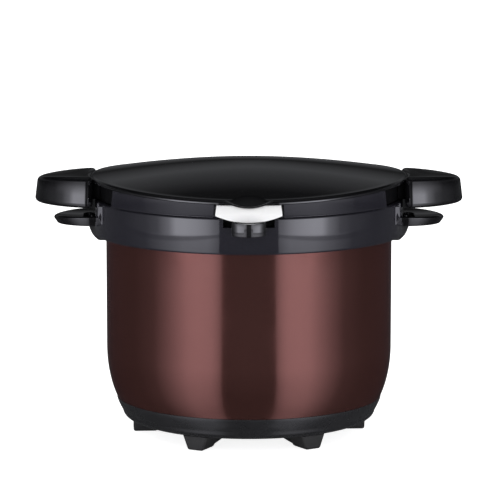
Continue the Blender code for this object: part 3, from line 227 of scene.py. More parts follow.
def curveMesh(curve):
    # the curve's merged mesh, closed and facing out
    drawn = show("drawn", curve)
    shape = bmesh.new()
    shape.from_mesh(shownMesh(drawn))
    bpy.data.objects.remove(drawn, do_unlink=True)
    bmesh.ops.remove_doubles(shape, verts=shape.verts, dist=together)
    bmesh.ops.recalc_face_normals(shape, faces=shape.faces)
    return shape


def tube(name, path, radius, finish, rounds):
    # a round rod that follows a path
    curve = bpy.data.curves.new(name, "CURVE")
    curve.dimensions = "3D"
    curve.bevel_depth = radius
    curve.bevel_resolution = rounds
    curve.use_fill_caps = True
    drawLine(curve, path)
    return newPiece(name, curveMesh(curve), finish)


def slab(outline, low, high, rounding=0, turn=None, segments=4):
    # a flat outline raised to a plate with rounded rims
    curve = bpy.data.curves.new("slab", "CURVE")
    curve.dimensions = "2D"
    curve.fill_mode = "BOTH"
    curve.extrude = (high - low) / 2 - rounding
    curve.bevel_depth = rounding
    curve.offset = -rounding
    curve.bevel_resolution = segments if rounding else 0
    drawLine(curve, [(x, y, 0) for x, y in outline]).use_cyclic_u = True
    shape = curveMesh(curve)
    bmesh.ops.translate(shape, verts=shape.verts, vec=(0, 0, (low + high) / 2))
    if turn:
        bmesh.ops.transform(shape, matrix=turn, verts=shape.verts)
    return newPiece("slab", shape)


def soften(piece, width, segments=2):
    # small rounded edges where two faces meet sharply
    edge = piece.modifiers.new("edges", "BEVEL")
    edge.limit_method = "ANGLE"
    edge.angle_limit = radians(40)
    edge.width = width
    edge.segments = segments
    edge.use_clamp_overlap = False
    edge.harden_normals = True
    mesh = shownMesh(piece)
    piece.modifiers.clear()
    piece.data = mesh
    return piece


def superellipse(centre, reach, halfWidth, power, count):
    # half an outline, from its -Y end round the tip to its +Y end
    points = []
    for i in range(count + 1):
        turn = pi * i / count - pi / 2
        side = copysign(abs(sin(turn)) ** (2 / power), turn)
        points.append((centre + reach * abs(cos(turn)) ** (2 / power), halfWidth * side))
    return points


def roundedBox(low, high, corner, count=8):
    points = []
    for x, y, first in ((high[0], low[1], -90), (high[0], high[1], 0), (low[0], high[1], 90),
                        (low[0], low[1], 180)):
        middleX = x - copysign(corner, x - (low[0] + high[0]) / 2)
        middleY = y - copysign(corner, y - (low[1] + high[1]) / 2)
        points += arc(middleX, middleY, corner, first, first + 90, count)
    return points


def mirrorPiece(piece, name):
    # the same piece on the other side of the YZ plane
    shape = bmesh.new()
    shape.from_mesh(piece.data)
    bmesh.ops.scale(shape, vec=(-1, 1, 1), verts=shape.verts)
    bmesh.ops.reverse_faces(shape, faces=shape.faces)
    mirrored = newPiece(name, shape)
    for material in piece.data.materials:
        mirrored.data.materials.append(material)
    return mirrored


def cutAlong(shape, **plane):
    return bmesh.ops.bisect_plane(shape, geom=shape.verts[:] + shape.edges[:] + shape.faces[:], **plane)


def dress(piece, name, material):
    # what was joined ends with one name and one finish
    piece.name = name
    piece.data.materials.clear()
    piece.data.materials.append(material)
    return piece


def paint(piece, material, chosen):
    # a second finish on the faces whose middle is chosen
    piece.data.materials.append(material)
    for face in piece.data.polygons:
        if chosen(face.center):
            face.material_index = len(piece.data.materials) - 1
    return piece


def fit(piece, body, node):
    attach(piece, body)
    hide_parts(node)


# shader groups, which all have the same sockets

def addNode(tree, kind, values=None, **options):
    # a value is set on its socket, and another node's output is wired to it
    node = tree.nodes.new("ShaderNode" + kind)
    for option, value in options.items():
        setattr(node, option, value)
    for socket, value in (values or {}).items():
        feed(tree, node.inputs[socket], value)
    return node


def feed(tree, socket, value):
    if isinstance(value, bpy.types.NodeSocket):
        tree.links.new(value, socket)
    else:
        socket.default_value = value


def compute(tree, operation, *values, clamp=False):
    return addNode(tree, "Math", dict(enumerate(values)), operation=operation, use_clamp=clamp).outputs[0]


def mapRange(tree, source, low, high, toLow, toHigh):
    return addNode(tree, "MapRange", {"Value": source, "From Min": low, "From Max": high, "To Min": toLow,
                                      "To Max": toHigh}).outputs["Result"]


def mixColour(tree, factor, first, second):
    return addNode(tree, "Mix", {"Factor": factor, "A": first, "B": second},
                   data_type="RGBA").outputs["Result"]


def noise(tree, vector, scale, detail, roughness):
    return addNode(tree, "TexNoise", {"Vector": vector, "Scale": scale, "Detail": detail,
                                      "Roughness": roughness}).outputs["Fac"]


def startGroup(name):
    tree = bpy.data.node_groups.new(name, "ShaderNodeTree")
    rows = (("INPUT", "Color", "Base Second"), ("INPUT", "Float", "Low High Fine"),
            ("OUTPUT", "Color", "Colour"), ("OUTPUT", "Float", "Roughness Height"))
    for way, kind, sockets in rows:
        for socket in sockets.split():
            tree.interface.new_socket(name=socket, in_out=way, socket_type="NodeSocket" + kind)
    return tree, tree.nodes.new("NodeGroupInput").outputs, addNode(tree, "TexCoord").outputs["Object"]


def endGroup(tree, given, blend, film, low, high, height):
    # the blend mixes both colours, and the film's span of levels gives the span of roughness
    colour = mixColour(tree, blend, given["Base"], given["Second"])
    rough = mapRange(tree, film, low, high, given["Low"], given["High"])
    for result, socket in zip((colour, rough, height), tree.nodes.new("NodeGroupOutput").inputs):
        tree.links.new(result, socket)
    return tree


def makeMouldedSkin():
    # moulded plastic and rubber: faint mottling, handling film, rubbed edges, fine grain
    tree, given, where = startGroup("mouldedSkin")
    rub = mapRange(tree, addNode(tree, "NewGeometry").outputs["Pointiness"], 0.52, 0.6, 0, 0.55)
    patch = mapRange(tree, noise(tree, where, 16, 4, 0.6), 0.45, 0.75, 0, 0.35)
    worn = compute(tree, "ADD", rub, patch, clamp=True)
    film = noise(tree, where, 38, 5, 0.65)
    grain = noise(tree, where, given["Fine"], 2, 0.5)
    return endGroup(tree, given, worn, film, 0.38, 0.68, grain)


def makeTurnedMetal():
    # metal with fine marks that run round the axis, and a few drifting stains
    tree, given, where = startGroup("turnedMetal")
    parts = addNode(tree, "SeparateXYZ", {0: where}).outputs
    flat = addNode(tree, "VectorMath", {0: where, 1: (1, 1, 0)}, operation="MULTIPLY").outputs[0]
    reach = addNode(tree, "VectorMath", {0: flat}, operation="LENGTH").outputs["Value"]
    slowTurn = compute(tree, "MULTIPLY", compute(tree, "ARCTAN2", parts["Y"], parts["X"]), 0.006)
    lines = addNode(tree, "CombineXYZ", {"X": reach, "Y": slowTurn, "Z": parts["Z"]}).outputs[0]
    marks = noise(tree, lines, given["Fine"], 3, 0.6)
    stain = mapRange(tree, noise(tree, where, 13, 4, 0.6), 0.42, 0.8, 0, 0.7)
    return endGroup(tree, given, stain, marks, 0.3, 0.7, marks)


def makeFlakedLacquer():
    # metal flake under clear lacquer: tiny cells of light and dark, and a slow drift of colour
    tree, given, where = startGroup("flakedLacquer")
    cells = addNode(tree, "TexVoronoi", {"Vector": where, "Scale": given["Fine"]}).outputs["Color"]
    single = addNode(tree, "SeparateColor", {0: cells}).outputs
    drift = mapRange(tree, noise(tree, where, 7, 3, 0.5), 0.35, 0.75, 0, 0.2)
    amount = compute(tree, "ADD", compute(tree, "MULTIPLY_ADD", single[0], 0.32, -0.04), drift, clamp=True)
    film = noise(tree, where, 30, 5, 0.65)
    return endGroup(tree, given, amount, film, 0.38, 0.7, single[1])


mouldedSkin = makeMouldedSkin()
turnedMetal = makeTurnedMetal()
flakedLacquer = makeFlakedLacquer()

# base and second colour, roughness from low to high, scale of the fine marks, bump distance in
# micrometres, and the shader's own plain values
glossCoat = {"Coat Weight": 1, "Coat Roughness": 0.03}
finishes = {
    "brownLacquer": (flakedLacquer, (0.185, 0.074, 0.064), (0.3, 0.132, 0.114), (0.12, 0.17), 2400, 1.2,
        {"Metallic": 0.92, "Specular Tint": (0.62, 0.5, 0.55, 1), "Coat Weight": 0.25,
        "Coat Roughness": 0.03}),
    "glossBlack": (mouldedSkin, (0.0025, 0.0025, 0.003), (0.006, 0.006, 0.0065), (0.05, 0.09), 240, 4,
        glossCoat),
    "rimBlack": (mouldedSkin, (0.0105, 0.0102, 0.014), (0.014, 0.0136, 0.0175), (0.05, 0.09), 240, 4,
        glossCoat),
    # The next finish is painted shade: a darker, rougher, weakly reflecting black put on faces deep in
    # recesses and gaps, where the real part lies in shadow.
    "recessBlack": (mouldedSkin, (0.003, 0.003, 0.0035), (0.008, 0.008, 0.009), (0.5, 0.62), 1200, 10,
        {"Specular IOR Level": 0.15}),
    "baseBlack": (mouldedSkin, (0.01, 0.01, 0.011), (0.024, 0.024, 0.026), (0.24, 0.34), 900, 12,
        {"Coat Weight": 0.4, "Coat Roughness": 0.12}),
    "plugBlack": (mouldedSkin, (0.02, 0.02, 0.021), (0.045, 0.045, 0.046), (0.38, 0.5), 1100, 20, {}),
    "footRubber": (mouldedSkin, (0.014, 0.014, 0.015), (0.045, 0.043, 0.041), (0.5, 0.68), 1400, 30, {}),
    "whiteButton": (mouldedSkin, (0.9, 0.9, 0.89), (0.83, 0.83, 0.82), (0.3, 0.4), 1200, 8,
        {"Coat Weight": 0.2, "Coat Roughness": 0.1}),
    "greySilicone": (mouldedSkin, (0.33, 0.33, 0.33), (0.42, 0.42, 0.41), (0.45, 0.6), 1500, 20, {}),
    "foamFill": (mouldedSkin, (0.7, 0.64, 0.5), (0.8, 0.75, 0.62), (0.85, 0.95), 700, 200, {}),
    "linerSteel": (turnedMetal, (0.66, 0.65, 0.63), (0.57, 0.55, 0.52), (0.22, 0.36), 1500, 3,
        {"Metallic": 0.8}),
    "potSteel": (turnedMetal, (0.7, 0.69, 0.67), (0.6, 0.58, 0.54), (0.1, 0.18), 2000, 1.2,
        {"Metallic": 0.8}),
    "pinSteel": (turnedMetal, (0.55, 0.54, 0.52), (0.4, 0.38, 0.35), (0.2, 0.34), 2600, 3, {"Metallic": 1}),
    "plainAluminium": (turnedMetal, (0.72, 0.72, 0.73), (0.6, 0.6, 0.6), (0.3, 0.45), 1800, 5,
        {"Metallic": 1}),
}


def makeFinish(name):
    group, base, second, (low, high), fine, bump, plain = finishes[name]
    material = bpy.data.materials.new(name)
    material.use_nodes = True
    material.diffuse_color = (*base, 1)
    tree = material.node_tree
    node = addNode(tree, "Group", node_tree=group)
    for socket, value in zip(node.inputs, ((*base, 1), (*second, 1), low, high, fine)):
        socket.default_value = value
    skin = node.outputs
    relief = addNode(tree, "Bump", {"Strength": 1, "Distance": bump / 1000000, "Height": skin["Height"]})
    wanted = {"Base Color": skin["Colour"], "Roughness": skin["Roughness"],
              "Normal": relief.outputs["Normal"], **plain}
    for socket, value in wanted.items():
        feed(tree, tree.nodes["Principled BSDF"].inputs[socket], value)
    return material


finish = Sizes({name: makeFinish(name) for name in finishes})
print("cooker: finishes made")


# vessel: lacquered shell, steel liner, black base

vessel = Sizes(
    radius=0.1304, top=0.2109, wall=0.0008, shoulderTop=0.08, shoulderDepth=0.067, shoulderInset=0.033,
    foot=0.0338, skirt=0.11326, skirtFoot=0.0235)
liner = Sizes(radius=0.117, floor=0.036, corner=0.018, mouth=0.003, top=0.212, wall=0.0008)
base = Sizes(
    topRadius=0.12136, top=0.0335, edge=0.0012, knee=(0.11596, 0.0205), round=0.012, flat=0.013,
    wall=0.0024, screwCircle=0.028, boss=0.0062, bossTop=0.0217, headHole=0.0035, headRoom=0.0164,
    bore=0.0017, bulge=1.25)
foot = Sizes(
    count=6, turn=radians(3), outer=0.10646, length=0.0285, top=0.0127, width=0.025, sole=0.015,
    soleLength=0.022, edge=0.002, peg=0.003, pegGap=0.0003, pegTop=0.0172,
    rib=((0.004, 0.0006), (0.07, 0.01), (0.07, 0.0127), (0.004, 0.0127)), ribHalf=0.006)
footCircle = foot.outer - foot.length / 2


def makeShell():
    # a straight side, then an oval shoulder down to the base
    line = [(vessel.radius, vessel.top)]
    for i in range(25):
        height = vessel.shoulderTop + (vessel.foot - vessel.shoulderTop) * i / 24
        fall = (vessel.shoulderTop - height) / vessel.shoulderDepth
        line.append((vessel.radius - vessel.shoulderInset * (1 - sqrt(1 - fall * fall)), height))
    line += [(vessel.skirt, vessel.foot), (vessel.skirt, vessel.skirtFoot)]
    return turnedShell("lacqueredShell", line, vessel.wall, finish.brownLacquer)


def makeLiner():
    mouth, corner = liner.mouth, liner.corner
    line = [(vessel.radius, liner.top)]
    line += arc(liner.radius + mouth, liner.top - mouth, mouth, 90, 180, 8)
    line += arc(liner.radius - corner, liner.floor + corner, corner, 0, -90, 14)
    line += [(0, liner.floor)]
    return turnedShell("steelLiner", line, liner.wall, finish.linerSteel, outwards=True)


def makeBase():
    (kneeRadius, kneeHeight), flat, circle = base.knee, base.flat, base.screwCircle
    rimFoot = base.top - base.edge
    line = [(base.topRadius, base.top), (base.topRadius, rimFoot)]
    for share in (i / 8 for i in range(1, 9)):
        line.append((base.topRadius + (kneeRadius - base.topRadius) * share ** base.bulge,
                     rimFoot + (kneeHeight - rimFoot) * share))
    line += arc(kneeRadius - base.round, kneeHeight, base.round, -9, -90, 9, kneeHeight - flat)
    line += [(0, flat)]
    cover = turnedShell("blackBase", line, base.wall, finish.baseBlack)
    turns = [tau * i / 3 for i in range(3)]
    fuse(cover, *[post(circle, turn, flat + base.wall / 2, base.bossTop, base.boss) for turn in turns])
    cuts = [post(footCircle, turn, flat - beyond, flat + beyond, foot.peg + foot.pegGap)
            for turn in footTurns()]
    for turn in turns:
        cuts.append(post(circle, turn, flat - beyond, base.headRoom, base.headHole))
        cuts.append(post(circle, turn, flat - beyond, base.bossTop + beyond, base.bore))
    return carve(cover, *cuts)


def footTurns():
    return [foot.turn + pi * (2 * i - 1) / foot.count for i in range(foot.count)]


def makeFoot(turn, number):
    # a block that narrows to its sole, with a rib towards the middle and a peg that sits in the base
    shape = bmesh.new()
    size = Matrix.Diagonal((foot.width, foot.length, foot.top, 1))
    bmesh.ops.create_cube(shape, size=1, matrix=Matrix.Translation((0, 0, foot.top / 2)) @ size)
    soles = [vert for vert in shape.verts if vert.co.z < foot.top / 2]
    for vert in soles:
        vert.co.x *= foot.sole / foot.width
        if vert.co.y > 0:
            vert.co.y -= foot.length - foot.soleLength
    rims = [edge for edge in shape.edges if any(vert in soles for vert in edge.verts)]
    bmesh.ops.bevel(shape, geom=rims, offset=foot.edge, segments=4, profile=0.5, affect="EDGES", material=-1)
    spot = Matrix.Translation(polar(footCircle, turn, 0)) @ Matrix.Rotation(turn, 4, "Z")
    bmesh.ops.transform(shape, matrix=spot, verts=shape.verts)
    piece = newPiece(f"rubberFoot{number}", shape, finish.footRubber)
    fuse(piece, slab(foot.rib, -foot.ribHalf, foot.ribHalf, turn=spot @ standing))
    return fuse(piece, post(footCircle, turn, foot.top - foot.peg, foot.pegTop, foot.peg))


fit(makeShell(), "vessel", "outer_shell")
fit(makeLiner(), "vessel", "inner_liner")
fit(makeBase(), "vessel", "base_cover")
for i, footTurn in enumerate(footTurns()):
    fit(makeFoot(footTurn, i + 1), "vessel", f"foot_{i + 1}")
print("cooker: vessel, base and feet done")


# collar round the vessel's mouth, with the fixed half of the hinge

collar = Sizes(
    radius=0.1418, top=0.2165, edge=0.002, bottom=0.1838, footEdge=0.0024, wall=0.003, hollow=0.2,
    bore=0.1307, flange=0.2136, mouth=0.1185, lap=0.0008, seat=0.137, seatHalf=0.0301, seatLow=0.176,
    seatTop=0.2123, plateHalf=0.0313, plateLow=0.1923, plateTop=0.2032, padHalf=radians(13), crease=0.0003)
ridge = Sizes(
    low=0.1979, middle=0.206, top=0.2142, lowShare=0.3, middleShare=1.15,
    line=((0.1285, -0.0529), (0.1311, -0.054), (0.1352, -0.0521), (0.1343, -0.0449), (0.1318, -0.0441)),
    hollow=((0.1321, 0.205), (0.1326, 0.2003), (0.1345, 0.2045), (0.1331, 0.208)), hollowBack=0.0518)
catch = Sizes(half=0.0225, front=0.138, back=0.1344, floor=0.208, ledge=0.2134)
hinge = Sizes(
    axis=(0.1496, 0.217), knuckle=0.0054, lidHalf=0.014, near=0.0146, far=0.0271, armLow=0.206,
    armTop=0.2157, pin=0.002, pinHalf=0.0283, bore=0.0021, lidArmLow=0.2174, lidArmTop=0.2214,
    lidArmNear=0.1363, room=0.0068, reach=0.0277)
seal = Sizes(inner=0.121, outer=0.1285, low=0.2123, top=0.2133, edge=0.0002)


def hangSwell(piece, half, flush):
    # fades what stands proud of the ring, or hangs below it, towards both ends of a curved pad
    for vert in piece.data.vertices:
        x, y, z = vert.co
        share = (1 + cos(pi * min(1, abs(atan2(y, abs(x))) / half))) / 2
        if vert.co.xy.length > flush:
            vert.co.xy *= (flush + (vert.co.xy.length - flush) * share) / vert.co.xy.length
        if z < collar.bottom:
            vert.co.z = collar.bottom + (z - collar.bottom) * share
    return piece


def makeRidge(side):
    # a short upright ridge beside each ear, running out to a point at its foot
    middle = Vector(ridge.line[1])
    piece = slab([(side * x, y) for x, y in ridge.line][::side], ridge.low, ridge.top)
    shape = bmesh.new()
    shape.from_mesh(piece.data)
    cutAlong(shape, plane_co=(0, 0, ridge.middle), plane_no=(0, 0, 1))
    for vert in shape.verts:
        rise = vert.co.z - ridge.middle
        share = 1 if rise > together else ridge.lowShare if rise < -together else ridge.middleShare
        if vert.co.xy.length > collar.radius + margin:
            spot = middle + (Vector((abs(vert.co.x), vert.co.y)) - middle) * share
            vert.co.x, vert.co.y = side * spot.x, spot.y
    shape.to_mesh(piece.data)
    shape.free()
    facing = Matrix(((1, 0, 0, 0), (0, 0, -1, 0), (0, 1, 0, 0), (0, 0, 0, 1)))
    return carve(piece, slab([(side * x, z) for x, z in ridge.hollow][::side], ridge.hollowBack,
                             ridge.hollowBack + beyond, turn=facing))


def makeCollar():
    radius, top, edge, lap, seat = collar.radius, collar.top, collar.edge, collar.lap, collar.seat
    low, footEdge, bore, wall = collar.bottom, collar.footEdge, collar.bore, collar.wall
    hollow, flange, mouth = collar.hollow, collar.flange, collar.mouth
    line = arc(radius - edge, top - edge, edge, 90, 0, 5)
    line += arc(radius - footEdge, low + footEdge, footEdge, 0, -90, 6)
    line += [(radius - wall, low), (radius - wall, hollow), (bore + wall, hollow), (bore + wall, low),
             (bore, low), (bore, flange), (mouth, flange), (mouth, top - edge / 2), (mouth + edge / 2, top)]
    piece = turned("collarRing", line, finish.rimBlack)
    for side in (-1, 1):
        line = [(bore + lap, collar.seatLow), (seat, collar.seatLow), (seat, low), (seat, hollow + lap),
                (bore + lap, hollow + lap), (bore + lap, low)]
        pad = wedge(line, collar.padHalf, 0 if side > 0 else pi, 26)
        fuse(piece, hangSwell(pad, collar.padHalf, radius))
        near, far = sorted((side * seat, side * (radius + beyond)))
        carve(piece, beam(near, far, collar.seatHalf, collar.seatLow - beyond, collar.seatTop),
              beam(near, far, collar.plateHalf, collar.plateLow, collar.plateTop))
        fuse(piece, makeRidge(side))
    carve(piece, plank(catch.half, -radius - beyond, -catch.front, catch.floor, top + beyond),
          plank(catch.half, -catch.front - beyond, -catch.back, catch.floor, catch.ledge))
    for side in (-1, 1):
        near, far = sorted((side * hinge.near, side * hinge.far))
        arm = block((near, bore + wall, hinge.armLow), (far, hinge.axis[0], hinge.armTop))
        fuse(piece, fuse(arm, bar((near, *hinge.axis), (far, *hinge.axis), hinge.knuckle)))
    carve(piece, crossBar(hinge.far + beyond, hinge.axis, hinge.bore))
    soften(piece, collar.crease)
    # the faces inside the catch pocket get the painted shade finish, darker and duller than the ring
    return paint(piece, finish.recessBlack, inCatch)


# faces inside the catch pocket, which get the painted shade
def inCatch(spot):
    return (spot.y < 0 and abs(spot.x) < catch.half + margin and spot.xy.length < collar.radius - margin
            and catch.floor - margin < spot.z < collar.top - margin)


fit(makeCollar(), "vessel", "collar")
sealLine = roundedBox((seal.inner, seal.low), (seal.outer, seal.top), seal.edge, 1)
fit(turned("collarSeal", sealLine, finish.greySilicone), "vessel", "collar_seal")
fit(crossBar(hinge.pinHalf, hinge.axis, hinge.pin, name="hingePin", finish=finish.pinSteel), "vessel",
    "hinge_pin")
print("cooker: collar done")


# ear handles, low on the collar

ear = Sizes(
    crease=0.0005, root=0.1373, centre=0.14, reach=0.038, half=0.031, low=0.1926, edge=0.202,
    round=0.0018, lean=0.0024, dish=0.0034, tipFall=0.0026, slotNear=0.1395, slotFar=0.1512,
    slotHalf=0.0155, slotCorner=0.0058, rootHalf=radians(12.1), rootTop=0.212, flush=0.1419, rootFoot=0.176,
    swellTop=0.199, swellCentre=0.132, swellReach=0.0146, swellDepth=0.019, swellPower=1.6, lap=0.0004)


def makeEarPlate():
    # turned as a dished disc about the slot's middle, then drawn out to its oval
    half, low, edge, rounding = ear.half, ear.low, ear.edge, ear.round
    line = [(0, low)] + arc(half - rounding - ear.lean, low + rounding, rounding, -90, -20, 5)
    line += arc(half - rounding, edge - rounding, rounding, 0, 80, 6)
    for share in (1 - i / 12 for i in range(13)):
        line.append(((half - rounding) * share, edge - ear.dish * (1 - share ** 2)))
    shape = spinProfile(line, steps=144)
    middle = (ear.slotNear + ear.slotFar) / 2
    for vert in shape.verts:
        share = vert.co.xy.length / half
        turn = atan2(vert.co.y, vert.co.x)
        along = share * cos(turn)
        vert.co.x = middle * (1 - share) + ear.centre * share + ear.reach * along
        vert.co.y = half * share * sin(turn)
        if vert.co.z > low + rounding:
            vert.co.z -= ear.tipFall * max(0, along) ** 2
    cut = cutAlong(shape, plane_co=(ear.root + ear.lap, 0, 0), plane_no=(1, 0, 0), clear_inner=True)
    rims = [part for part in cut["geom_cut"] if isinstance(part, bmesh.types.BMEdge)]
    bmesh.ops.holes_fill(shape, edges=rims, sides=0)
    bmesh.ops.recalc_face_normals(shape, faces=shape.faces)
    return newPiece("earPlate", shape)


def makeEarRoot():
    # fills the ring's seat, swells out under the plate and runs back to the ring below it
    power = ear.swellPower
    line = [(ear.root, ear.rootTop), (ear.flush, ear.rootTop), (ear.flush, ear.swellTop)]
    for fall in ((ear.low - ear.rootFoot) * i / 16 for i in range(17)):
        reach = (1 - (fall / ear.swellDepth) ** power) ** (1 / power)
        line.append((ear.swellCentre + ear.swellReach * reach, ear.low - fall))
    line.append((ear.root, collar.bottom))
    return hangSwell(wedge(line, ear.rootHalf, 0, 30), ear.rootHalf, ear.flush)


def makeEar():
    handle = makeEarPlate()
    outline = roundedBox((ear.slotNear, -ear.slotHalf), (ear.slotFar, ear.slotHalf), ear.slotCorner)
    carve(handle, slab(outline, ear.low - beyond, ear.edge + beyond))
    return dress(fuse(handle, makeEarRoot()), "earHandleRight", finish.glossBlack)


rightEar = makeEar()
leftEar = mirrorPiece(rightEar, "earHandleLeft")
fit(soften(leftEar, ear.crease, 3), "vessel", "ear_handle_left")
fit(soften(rightEar, ear.crease, 3), "vessel", "ear_handle_right")
print("cooker: ear handles done")


# lid: domed top with a thumb scoop, rim, gasket and plug

lid = Sizes(
    spacing=0.85, apex=0.2505, radius=0.1405, sideDrop=0.0126, frontDrop=0.0183, power=1.72, lip=0.0038,
    lipDrop=0.0027, lipEdge=0.0009, wall=0.0015)
scoop = Sizes(
    radius=0.0428, tilt=radians(27), low=0.2273, middle=0.1443, half=0.022, seatFront=0.144, seat=0.0128,
    seatTop=0.2319, run=0.0208, wall=0.0018, bead=0.0008, beadHalf=0.0195, beadCircle=0.1445, sides=160)
latch = Sizes(pivot=(-0.1385, 0.22), pinHalf=0.019, bore=0.0014, rimHalf=0.0193, rimBore=0.0016)
rim = Sizes(
    line=((0.1443, 0.234), (0.1459, 0.2189), (0.1463, 0.2177), (0.1461, 0.2173), (0.1455, 0.2171),
        (0.1257, 0.2171), (0.1257, 0.2197), (0.1201, 0.2197), (0.1201, 0.2171), (0.114, 0.2171),
        (0.114, 0.2205), (0.131, 0.2205), (0.131, 0.234)), saddleLow=0.226, low=0.2171, above=0.26,
    outside=0.152, sideNear=0.137, sideHalf=radians(33), buttonHalf=radians(12.16), buttonNear=0.1424,
    buttonFloor=0.2232, buttonBack=0.1398, lugHalf=0.0156, lugBack=0.1335, scoopHalf=0.0226,
    scoopLow=0.2249, scoopBack=0.1275, recessNear=0.1436, recessSide=0.11, recessLow=0.2172, crease=0.00025)
gasket = Sizes(inner=0.1204, outer=0.1254, low=0.2168, top=0.2194, edge=0.0005)
plug = Sizes(
    flange=0.122, radius=0.113, flangeLow=0.2208, low=0.206, corner=0.004, room=0.034, roomTop=0.226,
    mouth=0.0015, fillet=0.002, wall=0.0016, screwCircle=0.1175, screwSeat=0.2227, screwBore=0.0017)


def overDome(x, y, z):
    # the dome falls more in front and behind than at the sides
    reach = hypot(x, y)
    if reach == 0:
        return x, y, z
    drop = lid.sideDrop + (lid.frontDrop - lid.sideDrop) * (y / reach) ** 2
    return x, y, z - drop * min(1, reach / lid.radius) ** lid.power


def scoopBar(radius):
    middle = Vector((0, -scoop.middle, scoop.low + scoop.radius / cos(scoop.tilt)))
    along = Vector((0, cos(scoop.tilt), sin(scoop.tilt)))
    return bar(middle - along * (scoop.run + scoop.radius / 2), middle + along * scoop.run, radius,
               scoop.sides)


def makeLidTop():
    line = [(lid.radius * (i / 30) ** lid.spacing, lid.apex) for i in range(31)]
    line += arc(lid.radius, lid.apex - lid.lipDrop, lid.lip, 82, 0, 9, lid.lipDrop)
    line += [(lid.radius + lid.lip, lid.apex - lid.lipDrop - lid.lipEdge)]
    top = turnedShell("lidTop", line, lid.wall, finish.glossBlack, rule=overDome)
    seat = plank(scoop.half, -scoop.seatFront, scoop.seat - scoop.middle, scoop.low - scoop.wall,
                 scoop.seatTop)
    combine(seat, [scoopBar(scoop.radius + scoop.wall)], "INTERSECT")
    fuse(top, seat)
    return carve(top, scoopBar(scoop.radius))


def makeScoopBead():
    # a thin rounded bead along the scoop's front lip
    path = []
    for x in (scoop.beadHalf * (i / 20 - 1) for i in range(41)):
        rise = (scoop.radius - sqrt(scoop.radius ** 2 - x * x)) / cos(scoop.tilt)
        path.append((x, -sqrt(scoop.beadCircle ** 2 - x * x), scoop.low + rise))
    return tube("scoopBead", path, scoop.bead, finish.glossBlack, 4)


def rimSaddle(x, y, z):
    # the rim's top follows the dome
    if z < rim.saddleLow:
        return x, y, z
    return x, y, z - (lid.frontDrop - lid.sideDrop) * y * y / (x * x + y * y)


def makeLidRim():
    shape = spinProfile(rim.line, True)
    bend(shape, rimSaddle)
    piece = newPiece("lidRim", shape, finish.rimBlack)
    high, low, far, near = rim.above, rim.low - beyond, rim.outside, rim.sideNear
    for middle in (0, pi):
        carve(piece, wedge([(far, high), (far, low), (near, low), (near, high)], rim.sideHalf, middle, 44))
    buttonRoom = [(far, high), (far, low), (rim.buttonNear, low), (rim.buttonNear, rim.buttonFloor),
                  (rim.buttonBack, rim.buttonFloor), (rim.buttonBack, high)]
    carve(piece, wedge(buttonRoom, rim.buttonHalf, -pi / 2, 24))
    carve(piece, plank(rim.lugHalf, -far, -rim.lugBack, low, high),
          plank(rim.scoopHalf, -far, -rim.scoopBack, rim.scoopLow, high),
          crossBar(latch.rimHalf, latch.pivot, latch.rimBore))
    carve(piece, crossBar(hinge.reach, hinge.axis, hinge.room))
    arm = plank(hinge.lidHalf, hinge.lidArmNear, hinge.axis[0], hinge.lidArmLow, hinge.lidArmTop)
    fuse(piece, fuse(arm, crossBar(hinge.lidHalf, hinge.axis, hinge.knuckle)))
    carve(piece, crossBar(hinge.reach, hinge.axis, hinge.bore))
    soften(piece, rim.crease)
    # the walls of the side recesses beside the handles get the painted shade finish, as they lie in shadow
    # under the lip
    return paint(piece, finish.recessBlack, lambda spot: spot.xy.length < rim.recessNear
                 and abs(spot.x) > rim.recessSide and spot.z > rim.recessLow)


def makePlug():
    corner, mouth, fillet = plug.corner, plug.mouth, plug.fillet
    line = [(plug.flange, plug.flangeLow), (plug.radius, plug.flangeLow)]
    line += arc(plug.radius - corner, plug.low + corner, corner, 0, -90, 8)
    line += arc(plug.room + mouth, plug.low + mouth, mouth, 270, 190, 4)
    line += arc(plug.room - corner - fillet, plug.roomTop - fillet, fillet, 10, 90, 4)
    line += [(0, plug.roomTop)]
    plate = turnedShell("lidPlug", line, plug.wall, finish.plugBlack)
    return carve(plate, *[post(plug.screwCircle, tau * (i + 0.5) / 4, plug.screwSeat - beyond,
                               plug.screwSeat + beyond, plug.screwBore) for i in range(4)])


fit(makeLidTop(), "lid", "lid_top")
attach(makeScoopBead(), "lid")
fit(makeLidRim(), "lid", "lid_rim")
gasketLine = arc(gasket.inner + gasket.edge, gasket.low + gasket.edge, gasket.edge, 180, 270, 4)
gasketLine += arc(gasket.outer - gasket.edge, gasket.low + gasket.edge, gasket.edge, 270, 360, 4)
gasketLine += [(gasket.outer, gasket.top), (gasket.inner, gasket.top)]
fit(turned("lidGasket", gasketLine, finish.greySilicone), "lid", "lid_gasket")
fit(makePlug(), "lid", "lid_underplate")
print("cooker: lid done")


# lid handles

grip = Sizes(
    centre=0.135, reach=0.195, half=0.0402, power=1.7, low=0.212, top=0.237, round=0.004, corner=0.0062,
    draft=0.003, lift=0.0016, tipFall=0.0014, sag=0.0015, inner=0.1442, flare=0.03, lap=0.004,
    skirtHalf=0.0345, skirtLow=0.2102, skirtTop=0.2185, skirtNear=0.1429, neckHalf=0.025, neckLow=0.2172,
    neckTop=0.231, neckNear=0.1373, pocketNear=0.156, pocketFar=0.182, pocketHalf=0.0185, pocketTop=0.224,
    pocketCorner=0.0048)


def onTurn(angle, radius):
    return Vector((cos(angle), sin(angle))) * radius


